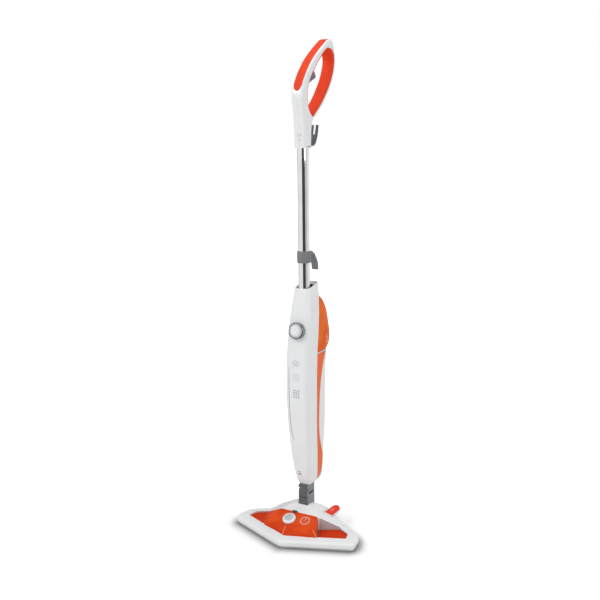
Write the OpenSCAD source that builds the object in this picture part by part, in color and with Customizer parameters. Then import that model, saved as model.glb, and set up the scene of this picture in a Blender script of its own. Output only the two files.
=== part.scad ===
// Upright steam mop, parked upright. Millimetres, +Z up, front towards -Y.
// The origin is on the floor, on the axis of the tube.

/* [Head] */
// Width of the head across its front corners
head_w = 336; // [320:1:360]
// Distance from the tube's axis forward to the nose
nose_reach = 139; // [135:1:150]
// Distance from the tube's axis back to the rear edge
rear_reach = 46; // [46:1:54]
// Height of the side wall's top edge
side_top = 17; // [16:0.5:19]
// Height of the rim round the window
rim_top = 21.5; // [20.5:0.5:24]
// Height of the hump's ridge
ridge_top = 65.5; // [63:0.5:66]
// Height of the window's raised rear edge
dome_top = 52; // [48:0.5:54]
// Width of the window's raised centre at its rear edge
dome_w = 108; // [104:1:110]
// Wall of the head's mouldings
head_wall = 2.4; // [2:0.1:2.8]
// Thickness of the cloth pad
cloth_t = 3.6; // [2.5:0.1:4.5]
// Thickness of the plate that holds the cloth
frame_t = 2.8; // [2:0.1:3.2]
// Thickness of the head's floor
plate_t = 2.6; // [2:0.1:3.2]
// Radius of the selector knob
selector_r = 17; // [14:0.5:18]
// Width of the foot pedal
pedal_w = 26; // [24:1:28]
// Length of the foot pedal
pedal_l = 65; // [62:1:67]

/* [Neck] */
// Width of the neck
neck_w = 26; // [24:0.5:27]
// Depth of the neck from front to back
neck_d = 37; // [35:0.5:38]
// Radius of the neck's two pins
neck_pin_r = 4; // [3:0.25:4.5]
// Height of the pin that the neck leans back on
tilt_z = 40; // [38:0.5:42]
// Height of the pin that the neck rolls on
roll_z = 98; // [95:0.5:99]
// Thickness of each cheek of the fork
cheek_t = 7; // [6:0.5:8]

/* [Body] */
// Height of the body's lower edge
body_z = 116; // [114:1:118]
// Wall of the casings
shell_t = 2.4; // [2:0.1:2.8]
// Seam between neighbouring casings
seam = 0.3; // [0.2:0.05:0.5]
// Wall of the water tank
tank_t = 2; // [1.6:0.1:2.6]
// Radius of the regulator knob
knob_r = 17.6; // [16:0.2:18.2]
// How far the regulator knob stands out
knob_h = 14; // [13:0.5:16]
// Radius of the boiler
boiler_r = 18; // [15:0.5:19]
// Height of the boiler
boiler_h = 112; // [90:1:116]

/* [Tube] */
// Radius of the tube
tube_r = 14; // [13:0.25:14.5]
// Wall of the tube
tube_t = 1; // [0.8:0.1:1.5]
// Length of the tube, which sets the height of the whole mop
tube_l = 450; // [400:5:500]
// Height of the ring clamp's lower edge
clamp_z = 678; // [660:1:760]
// Height of the ring clamp
clamp_h = 28; // [24:1:32]
// Half the width of both cord hooks
hook_half = 8.5; // [7:0.5:9.5]
// Radius of the bore that the mains cord leaves by
cord_bore_r = 3.6; // [3:0.1:4]

/* [Handle] */
// Width of the handle
handle_w = 31; // [30:0.5:34]
// Depth of the soft inlay and of the soft lining
grip_t = 4; // [3:0.25:4.5]
// Width of the soft inlay
inlay_w = 20; // [16:0.5:22]
// Width of the trigger
trigger_w = 13; // [10:0.5:14]

/* [Hidden] */

$fn = 64;
eps = 0.01;
// Running clearance of a pin in its bore, and the gap between parts that slide past each other
pin_gap = 0.05;
slide_gap = 0.3;
// Screws: shank, core bore, clearance hole, head radius and head height
screw_r = 1.45;
core_r = 1.5;
pass_r = 1.7;
screw_head_r = 3;
screw_head_h = 2;
head_gap = 0.15;
post_r = 4;

// ---- Head sizes worked out from the driving ones
half_head = head_w / 2;
frame_z = cloth_t;
plate_z = frame_z + frame_t;
floor_z = plate_z + plate_t;
cover_z = plate_z + 0.2;
corner_y = nose_reach - 67;
rear_half = 50;
dome_half = dome_w / 2;
dome_rear_y = -37;
slot_half = neck_w / 2 + 1.2;
neck_y = 2;
tongue_r = 15;
slot_front_y = neck_y - neck_d / 2 - 0.9;
boss_gap = 0.5;
boss_w = 11;
slot_wall = 1.6;

// Corners of the head's outline as [x, y, corner radius], anticlockwise from the nose
head_corners = [
    [0, -nose_reach, 34], [half_head, -corner_y, 10], [half_head - 7, -30, 14],
    [half_head - 19, -13, 18], [rear_half, rear_reach, 20], [-rear_half, rear_reach, 20],
    [19 - half_head, -13, 18], [7 - half_head, -30, 14], [-half_head, -corner_y, 10]
];
// Corners of the window, set in from the outline at the front
window_corners = [
    [0, 27 - nose_reach, 22], [half_head - 29, 16 - corner_y, 5], [half_head - 37, -28, 8],
    [half_head - 64, -12, 3], [dome_half, dome_rear_y, 3], [-dome_half, dome_rear_y, 3],
    [64 - half_head, -12, 3], [37 - half_head, -28, 8], [29 - half_head, 16 - corner_y, 5]
];

// ---- Outline helpers
min_corner = 3;
// Outward normal of the edge from a to b of an anticlockwise outline
function edge_normal(a, b) = [b[1] - a[1], a[0] - b[0]] / norm([b[0] - a[0], b[1] - a[1]]);
// One corner set in by d and rounded with n spans
function corner_arc(c, i, d, n) =
    let (
        m = len(c),
        na = edge_normal(c[(i + m - 1) % m], c[i]),
        nb = edge_normal(c[i], c[(i + 1) % m]),
        r = max(c[i][2] - d, min_corner),
        bend = (na + nb) / (1 + na * nb),
        a0 = atan2(na[1], na[0]),
        turn = atan2(na[0] * nb[1] - na[1] * nb[0], na * nb),
        q = sign(turn) * r,
        centre = [c[i][0], c[i][1]] - (d + q) * bend
    )
    [for (j = [0:n]) centre + q * [cos(a0 + turn * j / n), sin(a0 + turn * j / n)]];
function outline(c, d, n = 3) = [for (i = [0:len(c) - 1]) each corner_arc(c, i, d, n)];
function at_z(points, z) = [for (p = points) [p[0], p[1], z]];

// Smooth closed or open curve through points, n spans between each pair
function blend4(a, b, c, d, t) =
    b + 0.5 * t * (c - a + t * (2 * a - 5 * b + 4 * c - d + t * (3 * (b - c) + d - a)));
function smooth_loop(p, n) =
    let (m = len(p))
    [for (i = [0:m - 1], j = [0:n - 1])
        blend4(p[(i + m - 1) % m], p[i], p[(i + 1) % m], p[(i + 2) % m], j / n)];
function smooth_path(p, n) =
    let (m = len(p) - 1)
    [for (i = [0:m - 1], j = [0:i == m - 1 ? n : n - 1])
        blend4(p[max(i - 1, 0)], p[i], p[i + 1], p[min(i + 2, m)], j / n)];

// Closed solid through rings of equal count, each anticlockwise, from the lowest up
module loft(rings) {
    n = len(rings[0]);
    m = len(rings);
    top = (m - 1) * n;
    polyhedron(
        points = [for (ring = rings) each ring],
        faces = concat(
            [for (j = [1:n - 2]) [0, j, j + 1]],
            [for (j = [1:n - 2]) [top, top + j + 1, top + j]],
            [for (i = [0:m - 2], j = [0:n - 1]) let (k = (j + 1) % n)
                each [[i * n + j, (i + 1) * n + j, (i + 1) * n + k],
                    [i * n + j, (i + 1) * n + k, i * n + k]]]
        ),
        convexity = 8
    );
}

// Open casing through rings made of an outer edge and, back again, an inner edge
module casing(rings) {
    n = len(rings[0]);
    m = len(rings);
    half = n / 2;
    top = (m - 1) * n;
    polyhedron(
        points = [for (ring = rings) each ring],
        faces = concat(
            [for (j = [0:half - 2]) each [[j, j + 1, n - 2 - j], [j, n - 2 - j, n - 1 - j]]],
            [for (j = [0:half - 2]) each [[top + n - 2 - j, top + j + 1, top + j],
                [top + n - 1 - j, top + n - 2 - j, top + j]]],
            [for (i = [0:m - 2], j = [0:n - 1]) let (k = (j + 1) % n)
                each [[i * n + j, (i + 1) * n + j, (i + 1) * n + k],
                    [i * n + j, (i + 1) * n + k, i * n + k]]]
        ),
        convexity = 8
    );
}

// Compression spring along +Z, made of short straight spans
module coil(r, wire, length, turns) {
    sides = 6;
    steps = turns * 12;
    rise = (length - wire) / steps;
    rings = [for (i = [0:steps]) let (a = i * 30)
        [for (s = [0:sides - 1]) let (q = r + wire / 2 * cos(s * 60))
            [q * cos(a), q * sin(a), wire / 2 + i * rise + wire / 2 * sin(s * 60)]]];
    mirror([0, 1, 0]) loft([for (ring = rings) [for (s = [0:sides - 1]) ring[s]]]);
}

module rod_x(r, x0, x1) {
    translate([x0, 0, 0]) rotate([0, 90, 0]) cylinder(r = r, h = x1 - x0);
}

module rod_y(r, y0, y1) {
    translate([0, y1, 0]) rotate([90, 0, 0]) cylinder(r = r, h = y1 - y0);
}

module slab_x(half, points) {
    rotate([90, 0, 90]) translate([0, 0, -half]) linear_extrude(2 * half) polygon(points);
}

// ---- Head
module cloth_pad() {
    color("whitesmoke") linear_extrude(cloth_t) polygon(outline(head_corners, 3.5));
}

steam_hole_r = 2;
steam_spots = [for (x = [-90:36:90]) [x, -62 - (90 - abs(x)) * 0.22]];

module steam_holes(z0, z1) {
    for (p = steam_spots) translate([p[0], p[1], z0]) cylinder(r = steam_hole_r, h = z1 - z0, $fn = 24);
}

module pad_frame() {
    color("lightgray") difference() {
        translate([0, 0, frame_z]) linear_extrude(frame_t) polygon(outline(head_corners, 2));
        steam_holes(frame_z - 1, plate_z + 1);
    }
}

// Screws under the head: front ones in the rim, rear ones beside the neck
rear_screw = [38, rear_reach - 11];
head_screws = [
    for (s = [-1, 1]) each [
        [s * (half_head - 48), 13 - corner_y - 18], [s * 45, 30 - nose_reach], [s * rear_screw[0], rear_screw[1]]
    ]
];
head_screw_l = 12;

module pin_bosses() {
    boss_x = slot_half + slot_wall + boss_gap;
    for (x = [boss_x, -boss_x - boss_w]) translate([x, neck_y - 8, 0]) cube([boss_w, 16, tilt_z + 8]);
}

module base_plate() {
    color("gainsboro") difference() {
        union() {
            translate([0, 0, plate_z]) linear_extrude(plate_t) polygon(outline(head_corners, head_wall + slide_gap));
            intersection() {
                pin_bosses();
                translate([-half_head, -nose_reach, floor_z - 1]) cube([head_w, head_w, 100]);
            }
        }
        translate([0, neck_y, tilt_z]) rod_x(neck_pin_r + pin_gap, -half_head / 2, half_head / 2);
        steam_holes(plate_z - 1, floor_z + 1);
        for (p = head_screws) translate([p[0], p[1], plate_z]) {
            translate([0, 0, -1]) cylinder(r = pass_r, h = plate_t + 2, $fn = 32);
            translate([0, 0, -1]) cylinder(r = screw_head_r + head_gap, h = 1 + 1.4, $fn = 32);
        }
    }
}

module base_screws() {
    color("silver") for (p = head_screws) translate([p[0], p[1], plate_z]) {
        translate([0, 0, 0.2]) cylinder(r = screw_head_r, h = 1.2, $fn = 32);
        translate([0, 0, 0.2]) cylinder(r = screw_r, h = head_screw_l, $fn = 32);
    }
}

// Convex block with its corners at the given points
module block(points) {
    hull() polyhedron(points = points, faces = [for (i = [0:len(points) - 3]) [i, i + 1, i + 2]]);
}

// Corners of the hump on its right side, set in by d
function hump_corners(d) = [
    [half_head - 58 - d, -10 + d, rim_top - d], [half_head - 58 - d, -10 + d, side_top - 9],
    [dome_half + 2 - d, dome_rear_y + d, dome_top - 2 - d], [dome_half - 2 - d, dome_rear_y + d, dome_top - d],
    [dome_half + 4 - d, dome_rear_y + d, side_top - 9],
    [20 - d, -17 + d, ridge_top + 0.5 - d], [31 - d, -2 + d, ridge_top - d], [34 - d, 19 - d, ridge_top - 7 - d],
    [52 - d, 26 - d, ridge_top - 15.5 - d], [84 - d, 15 - d, rim_top + 14 - d], [92 - d, 14 - d, rim_top + 6 - d],
    [rear_half - d, rear_reach - 1 - d, rim_top + 2 - d],
    [rear_half - 4 - d, rear_reach - 4 - d, rim_top + 8 - d],
    [rear_half - d, rear_reach - 1 - d, side_top - 9], [84 - d, 22 - d, side_top - 9]
];

module hump(d) {
    block([for (s = [-1, 1], p = hump_corners(d)) [s * p[0], p[1], p[2]]]);
}

// Frame of the foot pedal: u to the right, v to the rear, w square to the shoulder
pedal_roll = 27.6;
pedal_x = 64;
pedal_top_z = 47;
pedal_t = 7;
pedal_front = -10;
pedal_pin_r = 2;
pedal_pin_v = 4;
pedal_pin_w = -11;
pedal_pocket_w = -17;
pedal_spring_v = 22;

module at_pedal() {
    translate([pedal_x, 0, pedal_top_z]) rotate([0, pedal_roll, 0]) children();
}

module pedal_pocket(grow) {
    half = pedal_w / 2 + 1.7 + grow;
    at_pedal() translate([-half, pedal_front - 2.5 - grow, pedal_pocket_w - grow])
        cube([2 * half, 80, 60]);
}

module head_cover() {
    color("white") difference() {
        union() {
            difference() {
                union() {
                    difference() {
                        loft([
                            at_z(outline(head_corners, 0), cover_z),
                            at_z(outline(head_corners, 0), side_top - 3),
                            at_z(outline(head_corners, 1.2), side_top - 0.8),
                            at_z(outline(head_corners, 4), side_top + 0.8),
                            at_z(outline(head_corners, 24), rim_top)
                        ]);
                        translate([0, 0, floor_z + 2.5]) linear_extrude(100) polygon(outline(window_corners, 0));
                    }
                    intersection() {
                        hump(0);
                        translate([-head_w / 2, -nose_reach, cover_z]) cube([head_w, head_w, 80]);
                    }
                }
                loft([
                    at_z(outline(head_corners, head_wall), cover_z - 1),
                    at_z(outline(head_corners, head_wall), side_top - 4),
                    at_z(outline(head_corners, head_wall + 2.5), side_top - 1.6),
                    at_z(outline(head_corners, 24), rim_top - head_wall)
                ]);
                hump(head_wall);
            }
            // Posts for the screws, walls of the neck's slot and of the pedal's pocket
            for (p = head_screws) translate([p[0], p[1], floor_z])
                cylinder(r = post_r, h = (p[1] > 0 ? rim_top + 7 : rim_top - 2.5) - floor_z, $fn = 32);
            intersection() {
                hump(0.2);
                translate([0, 0, floor_z]) union() {
                    for (s = [-1, 1]) translate([s > 0 ? slot_half : -slot_half - slot_wall, slot_front_y, 0])
                        cube([slot_wall, head_w, 80]);
                    translate([-slot_half - slot_wall, slot_front_y - slot_wall, 0])
                        cube([2 * (slot_half + slot_wall), slot_wall, 80]);
                }
            }
            intersection() {
                hump(0.2);
                pedal_pocket(1.6);
            }
        }
        translate([-slot_half, slot_front_y, floor_z + 2]) cube([2 * slot_half, head_w, 100]);
        pedal_pocket(0);
        translate([0, neck_y, tilt_z]) rod_x(neck_pin_r + 0.2, -half_head / 2, half_head / 2);
        at_pedal() translate([0, pedal_pin_v, pedal_pin_w])
            rod_x(pedal_pin_r + pin_gap, -pedal_w / 2 - 2.4, pedal_w / 2 + 2.4);
        for (p = head_screws) translate([p[0], p[1], floor_z - 1])
            cylinder(r = core_r, h = head_screw_l + 1.5 - plate_t, $fn = 32);
        // Dark notch behind the selector knob
        translate([-12, dome_rear_y + 3, dome_top - 6]) cube([9, 8, 14], center = true);
    }
}

// ---- Window: raised centre with a steeper front, and a low wing on each side
crease_y = dome_rear_y - 49;
crease_z = dome_top - 18;
dome_slope = atan((dome_top - crease_z) / (dome_rear_y - crease_y));

dome_t = 2;
wing_z = floor_z + 4.6;
slope_half = 100;
// Corners of the raised centre: rear, crease, side and nose, set in by d, with a broad slope on the left
function dome_corners(d) = [
    for (s = [-1, 1]) each [
        [s * (dome_half - 2 - d), dome_rear_y - 0.8 - d, dome_top - d],
        [s * (dome_half - d), dome_rear_y - 0.8 - d, dome_top - 2 - d],
        [s * (dome_half + 6 - d), crease_y + 6, crease_z + 2 - d], [s * (12 - d), crease_y, crease_z - d],
        [s * (dome_half + 19.5 - d), crease_y + 2.5, rim_top + 1.5 - d], [s * (6 - d), 28 - nose_reach, rim_top + 0.5 - d],
        [s * (dome_half - d), dome_rear_y - 0.8 - d, wing_z - d],
        [s * (dome_half + 20.5 - d), crease_y + 3.5, wing_z - d], [s * (6 - d), 27 - nose_reach, wing_z - d]
    ],
    for (z = [dome_top - 4, wing_z]) [d - dome_half - 4, dome_rear_y - 0.8 - d, z - d],
    for (rise = [11.4, 0]) [d - slope_half, dome_rear_y + 19.2 - d, wing_z + rise - d],
    for (rise = [4, 0]) each [[d - slope_half - 4, dome_rear_y + 7 - d, wing_z + rise - d],
        [d - slope_half, crease_y + 20, wing_z + rise - d]]
];

// The raised centre, set in by d
module dome(d) {
    intersection() {
        block(dome_corners(d));
        linear_extrude(dome_top + 1) polygon(outline(window_corners, 0.8 + d));
    }
}

selector_x = -12;
selector_y = dome_rear_y - 29;
selector_z = dome_top - (dome_rear_y - selector_y) * tan(dome_slope);
selector_stem_r = 4;
selector_h = 7.7;
valve_w = -13;

module at_selector() {
    translate([selector_x, selector_y, selector_z]) rotate([dome_slope, 0, 0]) children();
}

module clear_cover() {
    color("orangered", 0.8) difference() {
        union() {
            dome(0);
            translate([0, 0, wing_z]) linear_extrude(dome_t) polygon(outline(window_corners, slide_gap));
        }
        dome(dome_t);
        // The hump of the head, which the left slope ends against
        hump(-slide_gap);
        at_selector() translate([0, 0, -10]) cylinder(r = selector_stem_r + pin_gap, h = 30);
    }
}

module steam_manifold() {
    color("dimgray") difference() {
        union() {
            translate([selector_x - 20, selector_y - 16, floor_z]) cube([40, 34, 9]);
            intersection() {
                at_selector() translate([0, 0, valve_w - 30]) cylinder(r = 12, h = 30 - slide_gap);
                translate([-half_head, -nose_reach, floor_z]) cube([head_w, head_w, 60]);
            }
        }
        at_selector() translate([0, 0, valve_w - 8]) cylinder(r = 3, h = 20);
    }
}

module selector_knob() {
    color("white") at_selector() difference() {
        union() {
            rotate_extrude() polygon([
                [0, slide_gap + 1.4], [selector_r - 1, slide_gap + 1.4], [selector_r, slide_gap + 2.4],
                [selector_r - 0.6, selector_h - 1.2], [selector_r - 2.2, selector_h - 0.2], [0, selector_h]
            ]);
            translate([0, 0, -9.5]) cylinder(r = selector_stem_r, h = 12);
        }
        translate([-1, 4, selector_h - 0.7]) cube([2, 10, 3]);
    }
}

module selector_valve() {
    color("darkslategray") at_selector() translate([0, 0, valve_w]) cylinder(r = 10, h = 3.5);
}

module tilt_pin() {
    reach = slot_half + slot_wall + boss_gap + boss_w;
    color("silver") translate([0, neck_y, tilt_z]) rod_x(neck_pin_r, -reach, reach);
}

module pedal_pin() {
    color("silver") at_pedal() translate([0, pedal_pin_v, pedal_pin_w])
        rod_x(pedal_pin_r, -pedal_w / 2 - 2.2, pedal_w / 2 + 2.2);
}

module pedal_spring() {
    color("silver") at_pedal() translate([0, pedal_spring_v, pedal_pocket_w])
        coil(3.4, 0.9, -pedal_pocket_w - pedal_t, 4);
}

function pedal_outline(d) = [
    [1.5 + d - pedal_w / 2, pedal_front + d], [pedal_w / 2 - 4 - d, pedal_front + 6 + d],
    [pedal_w / 2 - d, pedal_front + 11 + d], [pedal_w / 2 + 0.5 - d, pedal_front + pedal_l - 13],
    [pedal_w / 2 - 2.5 - d, pedal_front + pedal_l - 7 - 0.5 * d], [3, pedal_front + pedal_l - d],
    [1, pedal_front + pedal_l - d], [0.7 * d - 5.5, pedal_front + pedal_l - 6 - 0.7 * d],
    [0.8 * d - 8.5, pedal_front + pedal_l - 16], [0.5 + d - pedal_w / 2, pedal_front + 12]
];

pedal_pad_t = 1.6;

module foot_pedal() {
    color("white") at_pedal() difference() {
        union() {
            translate([0, 0, -pedal_t]) linear_extrude(pedal_t) polygon(pedal_outline(0));
            hull() {
                translate([0, pedal_pin_v, pedal_pin_w]) rod_x(4, -8, 8);
                translate([-8, pedal_pin_v - 4, -pedal_t]) cube([16, 8, 1]);
            }
        }
        translate([0, 0, -pedal_pad_t]) linear_extrude(pedal_pad_t + 1) polygon(pedal_outline(1.6));
        translate([0, pedal_pin_v, pedal_pin_w]) rod_x(pedal_pin_r + pin_gap, -20, 20);
    }
}

module pedal_pad() {
    color("orangered") at_pedal() translate([0, 0, -pedal_pad_t])
        linear_extrude(pedal_pad_t + 0.5) polygon(pedal_outline(1.8));
}

// ---- Neck
cheek_r = neck_w / 2;
fork_floor = roll_z - 14;
neck_front = neck_y - neck_d / 2;
neck_back = neck_y + neck_d / 2;
block_z = tilt_z + 12;

module swivel_yoke() {
    color("dimgray") difference() {
        union() {
            translate([0, neck_y, tilt_z]) rod_x(tongue_r, -neck_w / 2, neck_w / 2);
            translate([-neck_w / 2, neck_front, block_z]) cube([neck_w, neck_d, fork_floor - block_z]);
            for (y = [neck_front, neck_back - cheek_t]) {
                translate([-neck_w / 2, y, fork_floor - 1]) cube([neck_w, cheek_t, roll_z - fork_floor + 1]);
                translate([0, y, roll_z]) rod_y(cheek_r, 0, cheek_t);
            }
        }
        translate([0, neck_y, tilt_z]) rod_x(neck_pin_r + pin_gap, -neck_w, neck_w);
        translate([0, neck_y, roll_z]) rod_y(neck_pin_r + pin_gap, -neck_d, neck_d);
    }
}

module roll_pin() {
    color("silver") translate([0, 0, roll_z]) rod_y(neck_pin_r, neck_front + 0.8, neck_back - 0.8);
}

tongue_top = 150;
tongue_front = neck_front + cheek_t + slide_gap;
tongue_back = neck_back - cheek_t - slide_gap;
steam_hose_r = 4;

module neck_tongue() {
    flange_z = body_z + 5;
    collar_low_z = roll_z + cheek_r + slide_gap;
    color("gray") difference() {
        union() {
            translate([0, 0, roll_z]) rod_y(cheek_r - 0.2, tongue_front, tongue_back);
            translate([-neck_w / 2 + 0.2, tongue_front, roll_z])
                cube([neck_w - 0.4, tongue_back - tongue_front, collar_low_z + 2 - roll_z]);
            translate([-neck_w / 2 + 3, tongue_front + 3, roll_z])
                cube([neck_w - 6, tongue_back - tongue_front - 3, tongue_top - roll_z]);
            translate([-neck_w / 2, neck_front, collar_low_z]) cube([neck_w, neck_d, body_z - slide_gap - collar_low_z]);
            translate([0, 0, flange_z]) linear_extrude(3) polygon(body_section(flange_z, shell_t + slide_gap));
        }
        translate([0, 0, roll_z]) rod_y(neck_pin_r + pin_gap, -neck_d, neck_d);
        translate([0, neck_y, roll_z + 14]) cylinder(r = steam_hose_r + 0.1, h = 100);
    }
}

// ---- Body: half width, front and back by height
half_w_at = [
    [114, 14.6], [118, 16.5], [128, 19.8], [140, 21.8], [160, 24.6], [200, 28.5], [230, 30.5],
    [285, 32.5], [350, 33.3], [420, 33], [470, 32.4], [540, 29.8], [570, 27.2], [594, 24.6], [640, 19.5]
];
front_at = [
    [114, -10.6], [118, -12.8], [128, -17], [140, -20.4], [160, -24.6], [200, -31], [230, -35],
    [285, -41], [350, -45.5], [380, -45.8], [420, -44.8], [470, -41.2], [540, -30.7], [570, -25.2],
    [594, -20.4], [640, -12.6]
];
back_at = [
    [114, 46], [118, 50], [122, 51.5], [128, 52], [150, 51.2], [175, 49.8], [200, 49.3], [230, 51],
    [260, 53.5], [285, 54.5], [350, 55], [400, 57], [420, 59.5], [460, 65.5], [594, 40.5], [640, 36]
];
front_r_at = [[114, 9], [160, 12], [370, 15], [640, 12]];
back_r_at = [[114, 5], [130, 6], [160, 9], [200, 13], [285, 15.5], [370, 17], [640, 12]];
strip_front_at = [
    [114, 24], [118, 25.4], [120, 26], [130, 22.7], [145, 20.5], [160, 16.5], [285, 0.6], [370, 0], [460, 5.4]
];
strip_back_at = [
    [114, 24], [118, 25.4], [120, 29.5], [124, 35], [130, 41], [140, 43.5], [165, 43.5], [180, 42],
    [200, 33], [210, 28], [240, 17], [285, 11.5], [330, 13], [370, 18], [420, 32], [460, 50]
];
tank_front_at = [[457, 5.2], [462, 5.4], [500, 12.6], [533, 18], [560, 23], [594, 28], [640, 30]];
tank_back_at = [
    [457, 71], [462, 79], [470, 88.5], [480, 92], [490, 93], [500, 92], [515, 88.5], [530, 84.3],
    [545, 80], [560, 75.5], [580, 64], [588, 56], [593, 47]
];

function half_w(z) = lookup(z, half_w_at);
function front_y(z) = lookup(z, front_at);
function back_y(z) = lookup(z, back_at);
function front_r(z) = lookup(z, front_r_at);
function back_r(z) = lookup(z, back_r_at);

strip_top = 452;
shelf_z = 453.5;
shelf_t = 3;
tank_z = shelf_z + shelf_t + slide_gap;
tank_top = 592.7;
collar_z = tank_top + slide_gap + 1;
rim_z = 616;
low_rim_z = 605;
rim_slope = 0.235;
arc_n = 5;

// Where the front casing ends on each side at height z
function part_y(z) = z < tank_z ? lookup(z, strip_front_at) : lookup(z, tank_front_at);

// Points of a corner arc between two angles
function arc(cx, cy, r, a0, a1) = [
    for (j = [0:arc_n]) let (a = a0 + (a1 - a0) * j / arc_n) [cx + r * cos(a), cy + r * sin(a)]
];

// Whole section at height z, set in by d
function body_section(z, d) =
    let (w = half_w(z), f = front_y(z), b = back_y(z), rf = front_r(z), rb = back_r(z))
    concat(
        arc(-w + rf, f + rf, rf - d, 180, 270), arc(w - rf, f + rf, rf - d, 270, 360),
        arc(w - rb, b - rb, rb - d, 0, 90), arc(-w + rb, b - rb, rb - d, 90, 180)
    );

// Front part of the section, from the left edge round the front to the right edge
function front_part(z, y, d) =
    let (w = half_w(z), f = front_y(z), rf = front_r(z))
    concat(
        [[d - w, y]], arc(-w + rf, f + rf, rf - d, 180, 270),
        arc(w - rf, f + rf, rf - d, 270, 360), [[w - d, y]]
    );

// Angle at which the rear corner arc starts when the rear part begins at y
function arc_start(z, y, d) =
    let (s = (y - back_y(z) + back_r(z)) / (back_r(z) - d)) s <= 0 ? 0 : asin(min(s, 0.98));
function side_x(z, y, d) = half_w(z) - back_r(z) + (back_r(z) - d) * cos(arc_start(z, y, d));

// Rear part of the section, from the right edge round the back to the left edge
function rear_part(z, y, d) =
    let (w = half_w(z), b = back_y(z), rb = back_r(z), a = arc_start(z, y, d), x = side_x(z, y, d))
    concat(
        [[x, y - eps]], arc(w - rb, b - rb, rb - d, a, 90),
        arc(-w + rb, b - rb, rb - d, 90, 180 - a), [[-x, y - eps]]
    );

function reversed(p) = [for (i = [len(p) - 1:-1:0]) p[i]];
// Ring of a casing: outer edge out, inner edge back, tilted by slope k about the front
function casing_ring(outer, inner, z, k = 0) = [
    for (p = concat(outer, reversed(inner))) [p[0], p[1], z + k * (p[1] - front_y(rim_z))]
];

// Heights of the rings: low ones, ones shared by both casings and the strips, and ones beside the tank
low_heights = [body_z, 118];
strip_heights = [
    120, 124, 130, 138, 145, 155, 165, 175, 185, 197, 210, 225, 240, 260, 285, 330, 370, 400, 420, 440, strip_top
];
tank_side_heights = [453, tank_z, 462, 470, 500, 533, 560, 577, 594, low_rim_z, rim_z];
front_heights = concat(low_heights, strip_heights, tank_side_heights);
knob_z = 517;
knob_tilt = atan(10.5 / 70);

module at_knob() {
    translate([0, front_y(knob_z), knob_z]) rotate([90 - knob_tilt, 0, 0]) children();
}

// Shell screws: two low, two under the tank
shell_spots = [for (s = [-1, 1]) each [[s * 11, 157], [s * 22, 436]]];
post_end = 14;
shell_screw_l = 16;

function inside_front(z, x) =
    let (w = half_w(z), rf = front_r(z), q = max(abs(x) - w + rf, 0))
    front_y(z) + rf - sqrt(rf * rf - q * q) + shell_t / 2;
function outside_back(z, x) =
    let (w = half_w(z), rb = back_r(z), q = max(abs(x) - w + rb, 0))
    back_y(z) - rb + sqrt(rb * rb - q * q);

module front_shell() {
    color("white") difference() {
        union() {
            casing([for (z = front_heights)
                let (y = part_y(z) - seam / 2)
                casing_ring(front_part(z, y, 0), front_part(z, y, shell_t), z, z == rim_z ? rim_slope : 0)]);
            for (p = shell_spots) translate([p[0], 0, p[1]])
                rod_y(post_r, inside_front(p[1], p[0]), post_end, $fn = 32);
        }
        at_knob() translate([0, 0, -10]) cylinder(r = 5, h = 20);
        for (p = shell_spots) translate([p[0], 0, p[1]])
            rod_y(core_r, post_end - shell_screw_l, post_end + 1, $fn = 32);
    }
}

latch_z = 437;
latch_w = 22;
latch_h = 16;

module rear_shell() {
    color("white") difference() {
        union() {
            casing([for (z = concat(low_heights, strip_heights))
                let (y = lookup(z, strip_back_at) + seam / 2)
                casing_ring(rear_part(z, y, 0), rear_part(z, y, shell_t), z)]);
            for (p = shell_spots) translate([p[0], 0, p[1]])
                rod_y(post_r, post_end + seam / 2, outside_back(p[1], p[0]) - shell_t / 2, $fn = 32);
        }
        for (p = shell_spots) translate([p[0], 0, p[1]]) {
            rod_y(pass_r, 0, 100, $fn = 32);
            rod_y(screw_head_r + head_gap, post_end + 3.5, 100, $fn = 32);
        }
        translate([-latch_w / 2 - slide_gap, 40, latch_z - latch_h / 2 - slide_gap])
            cube([latch_w + 2 * slide_gap, 60, latch_h + 2 * slide_gap]);
    }
}

module shell_screws() {
    color("silver") for (p = shell_spots) translate([p[0], 0, p[1]]) {
        rod_y(screw_head_r, post_end + 3.5, post_end + 3.5 + screw_head_h, $fn = 32);
        rod_y(screw_r, post_end - shell_screw_l + 5, post_end + 4, $fn = 32);
    }
}

strip_n = 6;

function strip_edge(z, d) =
    let (y0 = lookup(z, strip_front_at) + seam / 2, y1 = lookup(z, strip_back_at) - seam / 2)
    [for (j = [0:strip_n]) let (y = y0 + (y1 - y0) * j / strip_n) [side_x(z, y, d), y]];

module side_strip() {
    casing([for (z = strip_heights) casing_ring(strip_edge(z, 0), strip_edge(z, shell_t), z)]);
}

module right_side_strip() { color("orange") side_strip(); }
module left_side_strip() { color("orange") mirror([1, 0, 0]) side_strip(); }

module rear_collar() {
    heights = [collar_z, 600, low_rim_z, rim_z];
    color("white") difference() {
        casing([for (z = heights)
            let (y = part_y(z) + seam / 2)
            casing_ring(rear_part(z, y, 0), rear_part(z, y, shell_t), z, z == rim_z ? rim_slope : 0)]);
        at_gland() translate([0, 0, -10]) cylinder(r = barrel_r + pin_gap, h = 20);
    }
}

// Bay that holds the tank: a wall inside the front casing and a shelf under the tank
bay_top = 586;
function bay_ring(z) =
    let (w = half_w(z) - shell_t - slide_gap, y = lookup(z, tank_front_at) - slide_gap)
    [[-w, y - shell_t, z], [w, y - shell_t, z], [w, y, z], [-w, y, z]];
socket_z = 472;
socket_r = 8;
nipple_r = 4;

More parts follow.
